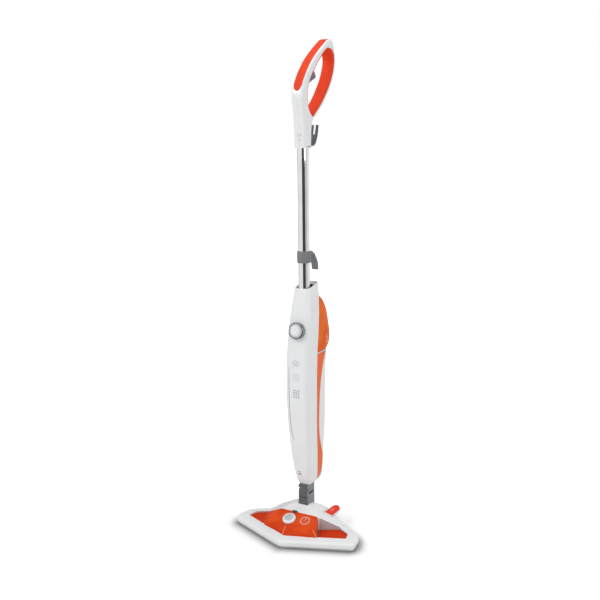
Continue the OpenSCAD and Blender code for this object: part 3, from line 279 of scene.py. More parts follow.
# painted highlight: lighter orange for the window's lit edges
PAINTED_HIGHLIGHT_ORANGE = moulded("bright_window_edge", tone(240, 108, 60), 0.3, 0.05)
# painted shade: grey for the hump's white wall where it lies in shade
PAINTED_SHADE_GREY = moulded("shaded_grey_plastic", tone(186, 188, 190), 0.4, 0.0)
TANK = tinted("orange_tank", tone(250, 118, 38), tone(236, 100, 26), 0.1)
CHROME = metal("tube_chrome", (0.93, 0.935, 0.94, 1.0), 0.05)
DARK_CHROME = metal("dark_chrome", (0.30, 0.31, 0.33, 1.0), 0.16)
STEEL = metal("steel", (0.66, 0.67, 0.68, 1.0), 0.3, 0.12)
ALUMINIUM = metal("aluminium", (0.75, 0.76, 0.77, 1.0), 0.42, 0.15)
TAN = moulded("tan_plastic", tone(196, 172, 130), 0.5, 0.0)
BLUE = moulded("filter_blue", tone(150, 184, 208), 0.4, 0.1)
CLOTH = looped_cloth("microfibre")

NODE_FINISH = {
    "pad_frame": LIGHT_GREY, "base_plate": LIGHT_GREY, "base_screws": STEEL, "steam_manifold": DARK,
    "tilt_pin": STEEL, "pedal_pin": STEEL, "pedal_spring": STEEL, "selector_valve": DARK,
    "roll_pin": STEEL, "tank_bay": WHITE_SHEEN, "regulator_valve": DARK, "tank_valve": DARK,
    "tank_cap": DARK, "latch_spring": STEEL, "tank_socket": BLACK_RUBBER, "scale_filter": BLUE,
    "water_hose": HOSE, "feed_hose": HOSE, "pump": DARK, "boiler": ALUMINIUM,
    "boiler_bracket": LIGHT_GREY, "thermostats": TAN, "steam_hose": BLACK_RUBBER,
    "tube_socket": LIGHT_GREY, "cord_gland": BLACK_RUBBER, "shell_screws": STEEL, "tube": CHROME,
    "hook_screw": STEEL, "trigger_pin": STEEL, "trigger_spring": STEEL, "microswitch": DARK,
    "snap_spring": STEEL, "handle_screws": STEEL,
}


def dress_nodes():
    """Gives every CAD node that stays its own finish, shaded smooth with crisp edges."""
    for name, obj in frame["nodes"].items():
        material = NODE_FINISH.get(name, WHITE)
        obj.data.materials.clear()
        obj.data.materials.append(material)
        for face in obj.data.polygons:
            face.use_smooth = True
            face.material_index = 0
        split = obj.modifiers.new("crisp edges", "EDGE_SPLIT")
        split.split_angle = math.radians(32)


# ---------------------------------------------------------------- shape helpers
def piece(name, points, faces, material, body, nodes=(), slot=None, crisp=34.0):
    """A new visible piece, points in millimetres, that rides on a CAD body."""
    mesh = bpy.data.meshes.new(name)
    mesh.from_pydata([Vector(p) * MM for p in points], [], faces)
    return wear(name, mesh, material, body, nodes, slot, crisp)


def wear(name, mesh, material, body, nodes=(), slot=None, crisp=34.0):
    tidy = bmesh.new()
    tidy.from_mesh(mesh)
    bmesh.ops.remove_doubles(tidy, verts=tidy.verts, dist=1e-6)
    bmesh.ops.recalc_face_normals(tidy, faces=tidy.faces)
    for face in tidy.faces:
        face.smooth = True
    for edge in tidy.edges:
        edge.smooth = len(edge.link_faces) == 2 and edge.calc_face_angle(0) < math.radians(crisp)
    tidy.to_mesh(mesh)
    tidy.free()
    obj = bpy.data.objects.new(name, mesh)
    bpy.context.scene.collection.objects.link(obj)
    mesh.materials.append(material)
    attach(obj, body)
    if nodes:
        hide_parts(*nodes)
    return obj


def table(rows):
    """Smooth curve through [place, value] rows that never overshoots them."""
    places = [row[0] for row in rows]
    values = [row[1] for row in rows]
    count = len(rows)
    slopes = [(values[i + 1] - values[i]) / (places[i + 1] - places[i]) for i in range(count - 1)]
    tangents = [slopes[0]]
    for i in range(1, count - 1):
        flat = slopes[i - 1] * slopes[i] <= 0
        tangents.append(0.0 if flat else 2 * slopes[i - 1] * slopes[i] / (slopes[i - 1] + slopes[i]))
    tangents.append(slopes[-1])

    def at(place):
        place = min(max(place, places[0]), places[-1])
        i = max(k for k in range(count - 1) if places[k] <= place)
        width = places[i + 1] - places[i]
        t = (place - places[i]) / width
        a = 2 * t ** 3 - 3 * t ** 2 + 1
        b = t ** 3 - 2 * t ** 2 + t
        c = 3 * t ** 2 - 2 * t ** 3
        d = t ** 3 - t ** 2
        return a * values[i] + b * width * tangents[i] + c * values[i + 1] + d * width * tangents[i + 1]

    return at


def spread(low, high, count):
    return [low + (high - low) * i / (count - 1) for i in range(count)]


def curve4(a, b, c, d, t):
    return tuple(
        q + 0.5 * t * (r - p + t * (2 * p - 5 * q + 4 * r - s + t * (3 * (q - r) + s - p)))
        for p, q, r, s in zip(a, b, c, d)
    )


def smooth_loop(points, spans):
    count = len(points)
    return [
        curve4(points[i - 1], points[i], points[(i + 1) % count], points[(i + 2) % count], j / spans)
        for i in range(count) for j in range(spans)
    ]


def smooth_path(points, spans):
    last = len(points) - 1
    run = [
        curve4(points[max(i - 1, 0)], points[i], points[i + 1], points[min(i + 2, last)], j / spans)
        for i in range(last) for j in range(spans)
    ]
    return run + [tuple(points[-1])]


def joined(rings, closed=True, caps=(True, True)):
    """Points and faces of a skin through rings of equal count."""
    count = len(rings[0])
    points = [p for ring in rings for p in ring]
    faces = []
    for i in range(len(rings) - 1):
        for j in range(count if closed else count - 1):
            k = (j + 1) % count
            faces.append((i * count + j, i * count + k, (i + 1) * count + k, (i + 1) * count + j))
    if caps[0]:
        faces.append(tuple(reversed(range(count))))
    if caps[1]:
        faces.append(tuple(range((len(rings) - 1) * count, len(rings) * count)))
    return points, faces


def arc(cx, cy, r, start, end, spans):
    return [
        (cx + r * math.cos(math.radians(a)), cy + r * math.sin(math.radians(a)))
        for a in spread(start, end, spans + 1)
    ]


def rounded(corners, inset=0.0, spans=8, least=1.5):
    """Outline through [x, y, radius] corners, anticlockwise, moved in by inset."""
    result = []
    count = len(corners)
    for i in range(count):
        before, here, after = corners[i - 1], corners[i], corners[(i + 1) % count]
        n1 = Vector((here[1] - before[1], before[0] - here[0])).normalized()
        n2 = Vector((after[1] - here[1], here[0] - after[0])).normalized()
        turn = math.atan2(n1.x * n2.y - n1.y * n2.x, n1.dot(n2))
        r = max(here[2] - inset, least) * (1 if turn > 0 else -1)
        middle = Vector(here[:2]) - (n1 + n2) / (1 + n1.dot(n2)) * (inset + r)
        start = math.atan2(n1.y, n1.x)
        for j in range(spans + 1):
            angle = start + turn * j / spans
            result.append((middle.x + r * math.cos(angle), middle.y + r * math.sin(angle)))
    return result


def hull_mesh(name, corners, radius, detail=3):
    """Convex block with rounded edges: small balls at its corners, wrapped."""
    ball = bmesh.new()
    bmesh.ops.create_icosphere(ball, subdivisions=detail, radius=radius * MM)
    shape = [v.co.copy() for v in ball.verts]
    ball.free()
    work = bmesh.new()
    for corner in corners:
        for spot in shape:
            work.verts.new(Vector(corner) * MM + spot)
    wrap = bmesh.ops.convex_hull(work, input=work.verts)
    left_over = wrap["geom_interior"] + wrap["geom_unused"]
    spare = {v for v in left_over if isinstance(v, bmesh.types.BMVert)}
    bmesh.ops.delete(work, geom=[v for v in spare if v.is_valid], context="VERTS")
    bmesh.ops.delete(work, geom=[v for v in work.verts if not v.link_faces], context="VERTS")
    bmesh.ops.recalc_face_normals(work, faces=work.faces)
    mesh = bpy.data.meshes.new(name)
    work.to_mesh(mesh)
    work.free()
    return mesh


def prism_mesh(name, outline, low, high):
    """Upright prism of an outline in x and y."""
    rings = [[(x, y, low) for x, y in outline], [(x, y, high) for x, y in outline]]
    points, faces = joined(rings)
    mesh = bpy.data.meshes.new(name)
    mesh.from_pydata([Vector(p) * MM for p in points], [], faces)
    tidy = bmesh.new()
    tidy.from_mesh(mesh)
    bmesh.ops.recalc_face_normals(tidy, faces=tidy.faces)
    tidy.to_mesh(mesh)
    tidy.free()
    return mesh


def box_mesh(name, low, high):
    """Box between two opposite corners."""
    corners = [(low[0], low[1]), (high[0], low[1]), (high[0], high[1]), (low[0], high[1])]
    return prism_mesh(name, corners, low[2], high[2])


def carve(mesh, steps):
    """mesh after each (operation, other mesh) step in turn."""
    scene = bpy.context.scene.collection
    target = bpy.data.objects.new("work", mesh)
    scene.objects.link(target)
    for operation, other in steps:
        tool = bpy.data.objects.new("tool", other)
        scene.objects.link(tool)
        cut = target.modifiers.new("cut", "BOOLEAN")
        cut.operation = operation
        cut.object = tool
        cut.solver = "EXACT"
        bpy.context.view_layer.update()
        graph = bpy.context.evaluated_depsgraph_get()
        target.data = bpy.data.meshes.new_from_object(target.evaluated_get(graph))
        target.modifiers.clear()
        bpy.data.objects.remove(tool)
    result = target.data
    bpy.data.objects.remove(target)
    result.materials.clear()
    return result


def moved_in(loop, distance):
    """A closed loop of (y, z) points moved towards its own left side by distance."""
    result = []
    count = len(loop)
    for i in range(count):
        before = Vector(loop[i - 1])
        here = Vector(loop[i])
        after = Vector(loop[(i + 1) % count])
        way = (here - before).normalized() + (after - here).normalized()
        way.normalize()
        result.append((here.x - way.y * distance, here.y + way.x * distance))
    return result


def anticlockwise(loop):
    area = sum(a[0] * b[1] - b[0] * a[1] for a, b in zip(loop, loop[1:] + loop[:1]))
    return list(loop) if area > 0 else list(reversed(loop))


def slab(outer, holes, low, high, radii, hole_radii, steps=5):
    """Points and faces of a slab along X with rounded rims. radii are for its low and high side."""
    loops = [(anticlockwise(outer), radii)] + [(anticlockwise(h)[::-1], hole_radii) for h in holes]
    points, faces, low_rings, high_rings = [], [], [], []
    rim = [math.pi / 2 * k / steps for k in range(steps + 1)]
    eased = [(1 - math.cos(a), 1 - math.sin(a)) for a in rim]
    for loop, (r0, r1) in loops:
        rings = [(low + r0 * along, r0 * inset) for along, inset in eased]
        rings += [(high - r1 * along, r1 * inset) for along, inset in eased[::-1]]
        start = len(points)
        count = len(loop)
        for x, inset in rings:
            points += [(x, y, z) for y, z in moved_in(loop, inset)]
        for i in range(len(rings) - 1):
            for j in range(count):
                k = (j + 1) % count
                a = start + i * count
                faces.append((a + j, a + k, a + count + k, a + count + j))
        low_rings.append(list(range(start, start + count)))
        high_rings.append(list(range(start + (len(rings) - 1) * count, start + len(rings) * count)))
    for rings, flip in ((low_rings, True), (high_rings, False)):
        order = [i for ring in rings for i in ring]
        flat = [[Vector((points[i][1], points[i][2], 0)) for i in ring] for ring in rings]
        for tri in tessellate_polygon(flat):
            face = tuple(order[i] for i in tri)
            faces.append(face[::-1] if flip else face)
    return points, faces


def lathe(profile, spans=96):
    """Skin of an outline in (radius, height) turned about Z."""
    rings = []
    for i in range(spans):
        a = 2 * math.pi * i / spans
        rings.append([(r * math.cos(a), r * math.sin(a), h) for r, h in profile])
    count = len(profile)
    points = [p for ring in rings for p in ring]
    faces = []
    for i in range(spans):
        n = (i + 1) % spans
        for j in range(count - 1):
            faces.append((i * count + j, n * count + j, n * count + j + 1, i * count + j + 1))
    return points, faces


def placed(points, matrix):
    return [tuple(matrix @ Vector(p)) for p in points]


def spring(name, fixed, free, radius, wire, turns, body):
    """Compression spring from its fixed to its free end."""
    start, way = Vector(fixed), Vector(free) - Vector(fixed)
    length = way.length
    turn = way.to_track_quat("Z", "Y").to_matrix()
    spans = turns * 20
    rings = []
    for i in range(spans + 1):
        a = 2 * math.pi * turns * i / spans
        h = wire / 2 + (length - wire) * i / spans
        ring = []
        for k in range(8):
            b = math.pi * k / 4
            r = radius + wire / 2 * math.cos(b)
            wound = Vector((r * math.cos(a), r * math.sin(a), h + wire / 2 * math.sin(b)))
            ring.append(tuple(start + turn @ wound))
        rings.append(ring)
    points, faces = joined(rings)
    coil = piece(f"{name}_coil", points, faces, STEEL, body, (name,), "steel", 60)
    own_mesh(coil)


def springs():
    pedal_end, pedal_foot = (tuple(PEDAL_MM @ Vector((0, 22, w))) for w in (-7, -17))
    spring("pedal_spring", pedal_foot, pedal_end, 3.4, 0.9, 4, "head")
    seat = back_y(437) - 9
    spring("latch_spring", (0, seat - 14, 437), (0, seat, 437), 3.4, 0.9, 5, "main_unit")
    spring("trigger_spring", (0, -16.6, 1085), (0, -7.6, 1085), 2.2, 0.5, 3, "main_unit")
    spring("snap_spring", (0, 12.6, 979), (0, -8.9, 979), 3.0, 0.8, 6, "main_unit")


def ribbon(path, normals, width, proud, sunk=0.4):
    """A thin strip that follows a surface: path points with their outward directions."""
    rings = []
    count = len(path)
    for i in range(count):
        here = Vector(path[i])
        along = (Vector(path[min(i + 1, count - 1)]) - Vector(path[max(i - 1, 0)])).normalized()
        out = Vector(normals[i]).normalized()
        side = along.cross(out).normalized() * (width[i] if isinstance(width, list) else width) / 2
        rings.append([
            tuple(here - side - out * sunk), tuple(here - side * 0.8 + out * proud * 0.8),
            tuple(here + out * proud), tuple(here + side * 0.8 + out * proud * 0.8),
            tuple(here + side - out * sunk),
        ])
    return joined(rings)


# ---------------------------------------------------------------- head
HEAD = [
    (0, -139, 34), (168, -72, 11), (161, -30, 14), (149, -13, 18), (50, 46, 20),
    (-50, 46, 20), (-149, -13, 18), (-161, -30, 14), (-168, -72, 11),
]
WINDOW = [
    (0, -112, 22), (139, -56, 6), (131, -28, 8), (104, -12, 4), (50, -37, 3),
    (-50, -37, 3), (-104, -12, 4), (-131, -28, 8), (-139, -56, 6),
]
COVER_LOW = 6.6
RIM_TOP = 21.5
TILT = (0, 2, 40)
SLOT_HALF = 14.2
SLOT_FRONT = -17.4
FLOOR_TOP = 9.0
WING_TOP = 15.6


def ring_by_angle(loop, middle, angles):
    """Points of a loop round a middle at set angles, each on the ray from the middle."""
    result = []
    count = len(loop)
    for angle in angles:
        ray = Vector((math.cos(angle), math.sin(angle)))
        best = None
        for i in range(count):
            a = Vector(loop[i]) - Vector(middle)
            b = Vector(loop[(i + 1) % count]) - Vector(middle)
            edge = b - a
            cross = ray.x * edge.y - ray.y * edge.x
            if abs(cross) < 1e-9:
                continue
            far = (a.x * edge.y - a.y * edge.x) / cross
            along = (a.x * ray.y - a.y * ray.x) / cross
            if far > 0 and -1e-6 <= along <= 1 + 1e-6 and (best is None or far > best):
                best = far
        result.append((middle[0] + ray.x * best, middle[1] + ray.y * best))
    return result


def head_base():
    """Side wall, rounded shoulder and rim of the head, open at the window and below."""
    middle = (0, -72)
    angles = [2 * math.pi * i / 360 for i in range(360)]
    heights = [
        (0.6, COVER_LOW), (0.0, COVER_LOW + 0.6), (0.0, 14.6), (0.35, 16.0), (1.3, 17.3),
        (2.8, 18.3), (5.0, 19.1), (10.0, 20.1), (18.0, 21.1), (24.0, RIM_TOP),
    ]
    rings = []
    for inset, z in heights:
        loop = ring_by_angle(rounded(HEAD, inset, 12, 3), middle, angles)
        rings.append([(x, y, z) for x, y in loop])
    edge = ring_by_angle(rounded(WINDOW, 0, 10), middle, angles)
    for grow, z in ((1.4, RIM_TOP + 0.25), (0.5, RIM_TOP), (0.0, RIM_TOP - 0.8), (0.0, 17.2)):
        ring = []
        for (x, y), (hx, hy, _) in zip(edge, rings[9]):
            way = Vector((hx - x, hy - y))
            step = way.normalized() * min(grow, way.length * 0.4) if way.length > 0.01 else Vector((0, 0))
            ring.append((x + step.x, y + step.y, z))
        rings.append(ring)
    inner = [
        (28.0, 17.6), (18.0, 18.4), (6.0, 16.6), (2.4, 13.5), (2.4, COVER_LOW),
    ]
    for inset, z in inner:
        loop = ring_by_angle(rounded(HEAD, inset, 12, 3), middle, angles)
        if inset > 20:
            loop = [(x + (hx - x) * 0.1, y + (hy - y) * 0.1) for (x, y), (hx, hy) in zip(edge, loop)]
        rings.append([(x, y, z) for x, y in loop])
    rings.append(rings[0])
    return joined(rings, caps=(False, False))


HUMP = [
    (110, -10, 21), (56, -37, 50), (52, -37, 52), (58, -37, 10), (108, -10, 10),
    (20, -17, 66), (31, -2, 65.5), (34, 19, 58.5), (52, 26, 50), (84, 15, 35.5), (92, 14, 27.5),
    (50, 45, 23.5), (46, 42, 29.5), (50, 45, 10), (84, 22, 10),
]
PEDAL_TURN = math.radians(27.6)
PEDAL = Matrix.Translation((64 * MM, 0, 47 * MM)) @ Matrix.Rotation(PEDAL_TURN, 4, "Y")
PEDAL_MM = Matrix.Translation((64, 0, 47)) @ Matrix.Rotation(PEDAL_TURN, 4, "Y")
DOME_SLOPE = math.atan(18 / 49)
SELECTOR_Z = 52 - 29 * math.tan(DOME_SLOPE)
SELECTOR = Matrix.Translation((-12, -66, SELECTOR_Z)) @ Matrix.Rotation(DOME_SLOPE, 4, "X")


def both(corners):
    return [(side * x, y, z) for side in (1, -1) for x, y, z in corners]


def hump_block(inset, radius, detail):
    """The hump drawn in by an inset, with rounded edges. Its foot stays at the height that it has."""
    corners = []
    deep = inset + radius
    for x, y, z in HUMP:
        if y < 5:
            y += deep
        elif y > 15:
            y -= deep
        corners.append((x - deep, y, z - deep if z > 12 else z))
    return hull_mesh("hump", both(corners), radius, detail)


PEDAL_OUTLINE = [
    (-11.5, -10, 2), (13, -0.5, 6), (13.5, 42, 5), (10.5, 49, 5), (2, 55, 4), (-5.5, 49, 6), (-9.5, 38, 12),
]


def pocket_mesh(rear=False):
    """Room for the pedal: its own outline with a gap, or the wider open part behind it."""
    if rear:
        room = box_mesh("pocket_rear", (-14.7, 34, -17), (14.7, 80, 40))
    else:
        room = prism_mesh("pocket_front", rounded(PEDAL_OUTLINE, -1.3, 6), -17, 40)
    room.transform(PEDAL)
    return room


SLOT_WALL = 1.6


def head_cover():
    points, faces = head_base()
    piece("head_cover_rim", points, faces, WHITE, "head", ("head_cover",), "white_plastic")
    steps = [
        ("DIFFERENCE", hump_block(2.4, 1.2, 2)),
        ("DIFFERENCE", box_mesh("slot", (-SLOT_HALF, SLOT_FRONT, FLOOR_TOP + 2), (SLOT_HALF, 90, 120))),
        ("DIFFERENCE", pocket_mesh()),
        ("DIFFERENCE", pocket_mesh(True)),
        ("DIFFERENCE", box_mesh("below", (-200, -200, -20), (200, 200, COVER_LOW + 3))),
    ]
    shell = carve(hump_block(0, 4.0, 4), steps)
    wear("head_cover_hump", shell, WHITE, "head", ("head_cover",), "white_plastic", 30)
    # walls of the neck's slot and of the pedal's pocket, trimmed to the hump
    side = SLOT_HALF + SLOT_WALL
    front = SLOT_FRONT - SLOT_WALL
    for name, low, high in (
        ("slot_wall_left", (-side, front, FLOOR_TOP), (-SLOT_HALF, 46, 80)),
        ("slot_wall_right", (SLOT_HALF, front, FLOOR_TOP), (side, 46, 80)),
        ("slot_wall_front", (-side, front, FLOOR_TOP), (side, SLOT_FRONT, 80)),
    ):
        wall = carve(box_mesh(name, low, high), [("INTERSECT", hump_block(0.3, 4.0, 3))])
        wear(name, wall, WHITE_SHEEN, "head", ("head_cover",), "white_plastic")
    outer = box_mesh("pocket_wall", (-16.3, -14.1, -18.6), (16.3, 80, 40))
    outer.transform(PEDAL)
    inner = box_mesh("pocket", (-14.7, -12.5, -17), (14.7, 80, 40))
    inner.transform(PEDAL)
    pocket = carve(outer, [("DIFFERENCE", inner), ("INTERSECT", hump_block(0.3, 4.0, 3))])
    wear("pedal_pocket", pocket, WHITE_SHEEN, "head", ("head_cover",), "white_plastic")


DOME = both([
    (52, -38.4, 52), (54, -38.4, 50.5), (60, -80, 36), (12, -86, 34), (73.5, -83.5, 23),
    (6, -111, 22), (54, -38.4, 13), (74.5, -82.5, 13), (6, -112, 13),
]) + [
    (-58, -38.4, 48), (-58, -38.4, 13), (-100, -18.6, 25), (-100, -18.6, 13), (-104, -30, 17.6),
    (-104, -30, 13),
    (-100, -66, 17.6), (-100, -66, 13),
]
WING = [(56, -37.6, 1.5), (78, -85, 2), (138, -55.5, 6), (130.6, -28.3, 8), (103.8, -12.6, 4)]


def dome_block(inset, radius, detail):
    corners = []
    for x, y, z in DOME:
        deep = inset + radius
        side = math.copysign(deep, x)
        corners.append((x - side, y + (deep if y < -90 else 0) - (deep if y > -40 else 0), z - deep))
    return hull_mesh("dome", corners, radius, detail)


def clear_cover():
    below = box_mesh("below", (-200, -200, -20), (200, 200, 13.6))
    shell = carve(dome_block(0, 3.0, 4), [
        ("DIFFERENCE", dome_block(2.0, 1.0, 3)),
        ("DIFFERENCE", below),
    ])
    wear("window_dome", shell, WINDOW_FINISH, "head", ("clear_cover",), "orange_window", 28)
    for side, name in ((1, "window_right_wing"), (-1, "window_left_wing")):
        wing = wing_mesh([(side * x, y) for x, y in rounded(WING, 0.3, 10)])
        wear(name, wing, WINDOW_FINISH, "head", ("clear_cover",), "orange_window", 28)


def wing_mesh(outline):
    """A low flat tray with a small rounded border."""
    outline = anticlockwise(outline)
    border = [
        (0.0, 13.6), (0.0, 16.6), (0.25, 17.1), (0.7, 17.3), (1.3, 17.1), (1.8, 16.2), (2.6, 15.8),
        (3.6, 15.7),
    ]
    rings = [[(x, y, z) for x, y in moved_in(outline, inset)] for inset, z in border]
    points, faces = joined(rings)
    mesh = bpy.data.meshes.new("wing")
    mesh.from_pydata([Vector(p) * MM for p in points], [], faces)
    return mesh


def nub(x, y):
    """Height of the cloth's loops at a spot."""
    return 0.5 * math.sin(x * 1.31 + 0.7 * math.sin(y * 0.9)) * math.sin(y * 1.17 + math.cos(x * 0.7))


def cloth():
    """Looped cloth pad: crowned rim, nubbly underside and edge."""
    loop = rounded(HEAD, 3.0, 14, 3)
    middle = Vector((0, -50))
    rings = []
    underside = [(t, 0.0) for t in spread(0.03, 0.965, 26)]
    rim = [(0.985, 0.5), (0.996, 1.3), (1.0, 2.2), (0.996, 3.0), (0.985, 3.6)]
    for scale, z in underside + rim:
        ring = []
        for x, y in loop:
            px = middle.x + (x - middle.x) * scale
            py = middle.y + (y - middle.y) * scale
            lift = nub(px, py) if 0.1 < scale else 0
            if z > 0:
                out = Vector((x - middle.x, y - middle.y)).normalized() * lift * 0.8
                ring.append((px + out.x, py + out.y, z))
            else:
                ring.append((px, py, 0.35 + 0.35 * lift / 0.5))
        rings.append(ring)
    points, faces = joined(rings)
    pad = piece("microfibre_pad", points, faces, CLOTH, "head", ("cloth_pad",), "cloth", 70)


def head_details():
    # ring symbol on the dome, a plain circle with a small star of strokes
    spot = Matrix.Translation((29, -60, 44.7)) @ Matrix.Rotation(math.atan(0.41), 4, "X")
    points, faces = lathe([(10.4, -0.8), (10.4, 0.2), (12.0, 0.2), (12.0, -0.8)], 72)
    piece("window_symbol_ring", placed(points, spot), faces, INK_LIGHT, "head", (), "white_plastic")
    for index, angle in enumerate((90, 210, 330)):
        rise = math.sin(math.radians(angle))
        run = [
            (3.0 * math.cos(math.radians(angle + t * 22)) + t * 0.6, (2 + t * 4.5) * rise + t, 0.1)
            for t in spread(0.0, 1.0, 6)
        ]
        turned = placed(run, spot)
        out = [spot.to_3x3() @ Vector((0, 0, 1))] * len(turned)
        points, faces = ribbon(turned, out, 1.8, 0.12, 0.9)
        piece(f"window_symbol_stroke_{index + 1}", points, faces, INK_LIGHT, "head", (), "white_plastic")
    # painted highlights: lighter orange strips along the window's edges, where they catch the light
    for name, run, out, wide in (
        ("window_nose_edge", [(-12.5, -86.2, 34.2), (-9.5, -98, 28.4), (-6.6, -110.4, 22.6)],
         (-0.35, -0.5, 0.8), 5.5),
        ("window_right_edge", [(60.4, -80.2, 36.0), (67, -82, 29.8), (73.4, -83.8, 23.6)],
         (0.6, -0.5, 0.62), 4.4),
    ):
        points, faces = ribbon(run, [out] * 3, wide, 0.25)
        piece(name, points, faces, PAINTED_HIGHLIGHT_ORANGE, "head", (), "orange_window", 60)
    # painted shade: a grey plate on the hump's white wall between the raised window and its right wing,
    # where that wall lies in shade
    cheek = [(58.5, -36.2, 18.6), (104, -13.4, 18.6), (104, -13.4, 23.4), (58.5, -36.2, 47.6)]
    rings = [[(x + 0.447 * d, y - 0.894 * d, z) for x, y, z in cheek] for d in (-0.4, 0.22)]
    points, faces = joined(rings)
    piece("hump_cheek", points, faces, PAINTED_SHADE_GREY, "head", (), "white_plastic")
    # painted shade: a dark block standing for the shaded notch behind the selector
    notch = Matrix.Translation((-11, -41.0, 50.4))
    outline = [(-4, -3), (3, -2.4), (4, 1.6), (3, 3.4), (-3.6, 1.6)]
    points, faces = slab(outline, [], -6.5, 6.5, (0.8, 0.8), (0, 0), 3)
    piece("selector_latch", placed(points, notch), faces, DARK, "head", (), "dark_plastic")


def selector():
    profile = [
        (0, 7.4), (6, 7.5), (12.4, 7.5), (13.8, 7.2), (15.2, 6.8), (16.1, 6.0), (16.7, 4.2), (17.0, 2.6),
        (16.8, 1.8),
        (16.0, 1.7), (3.9, 1.7), (3.9, -9), (0, -9),
    ]
    points, faces = lathe(profile, 96)
    piece("selector_dial", placed(points, SELECTOR), faces, WHITE, "selector", ("selector_knob",),
          "white_plastic", 40)
    points, faces = lathe([(0, 7.55), (11.4, 7.66), (11.8, 7.55), (11.9, 7.2), (0, 7.2)], 96)
    piece("selector_face", placed(points, SELECTOR), faces, LIGHT_GREY, "selector", (), "grey_plastic", 40)
    mark = [(0, 4.0, 7.5), (0, 10.5, 7.5)]
    up = [SELECTOR.to_3x3() @ Vector((0, 0, 1))] * 2
    points, faces = ribbon(placed(mark, SELECTOR), up, 1.6, 0.3)
    piece("selector_mark", points, faces, DARK_INK, "selector", (), "grey_plastic")


def pedal():
    profile = [
        (1.4, -7.0), (0.3, -6.3), (0.0, -5.2), (0.0, -1.6), (0.25, -0.8), (0.9, -0.15), (1.6, 0.0),
        (2.4, -0.1),
        (2.5, -0.6),
    ]
    rings = [[(x, y, z) for x, y in rounded(PEDAL_OUTLINE, inset, 10, 0.5)] for inset, z in profile]
    points, faces = joined(rings)
    piece("pedal_lever", placed(points, PEDAL_MM), faces, WHITE, "pedal", ("foot_pedal",), "white_plastic",
          40)
    points, faces = slab([(0, -14), (8, -8), (8, -5), (0, -5)], [], -8, 8, (1, 1), (0, 0), 3)
    piece("pedal_hinge_lug", placed(points, PEDAL_MM), faces, WHITE, "pedal", ("foot_pedal",),
          "white_plastic")
    profile = [(2.5, -1.2), (2.5, -0.1), (2.9, 0.5), (3.7, 0.85), (4.8, 1.05)]
    rings = [[(x, y, z) for x, y in rounded(PEDAL_OUTLINE, inset, 10, 0.5)] for inset, z in profile]
    points, faces = joined(rings)
    piece("pedal_cushion", placed(points, PEDAL_MM), faces, RED_PAD, "pedal", ("pedal_pad",), "red_grip", 40)
    # a plain raised symbol: an arrow into a ring
    up = PEDAL_MM.to_3x3() @ Vector((0, 0, 1))
    ring = [(3.6 * math.cos(a), 17 + 3.6 * math.sin(a), 1.15) for a in spread(0.6, 5.2, 14)]
    points, faces = ribbon(placed(ring, PEDAL_MM), [up] * len(ring), 1.0, 0.25)
    piece("pedal_symbol_ring", points, faces, INK_LIGHT, "pedal", (), "white_plastic")
    bar = [(-2, 29, 1.15), (0, 26.5, 1.15), (2.5, 29, 1.15)]
    points, faces = ribbon(placed(bar, PEDAL_MM), [up] * 3, 1.0, 0.25)
    piece("pedal_symbol_tick", points, faces, INK_LIGHT, "pedal", (), "white_plastic")


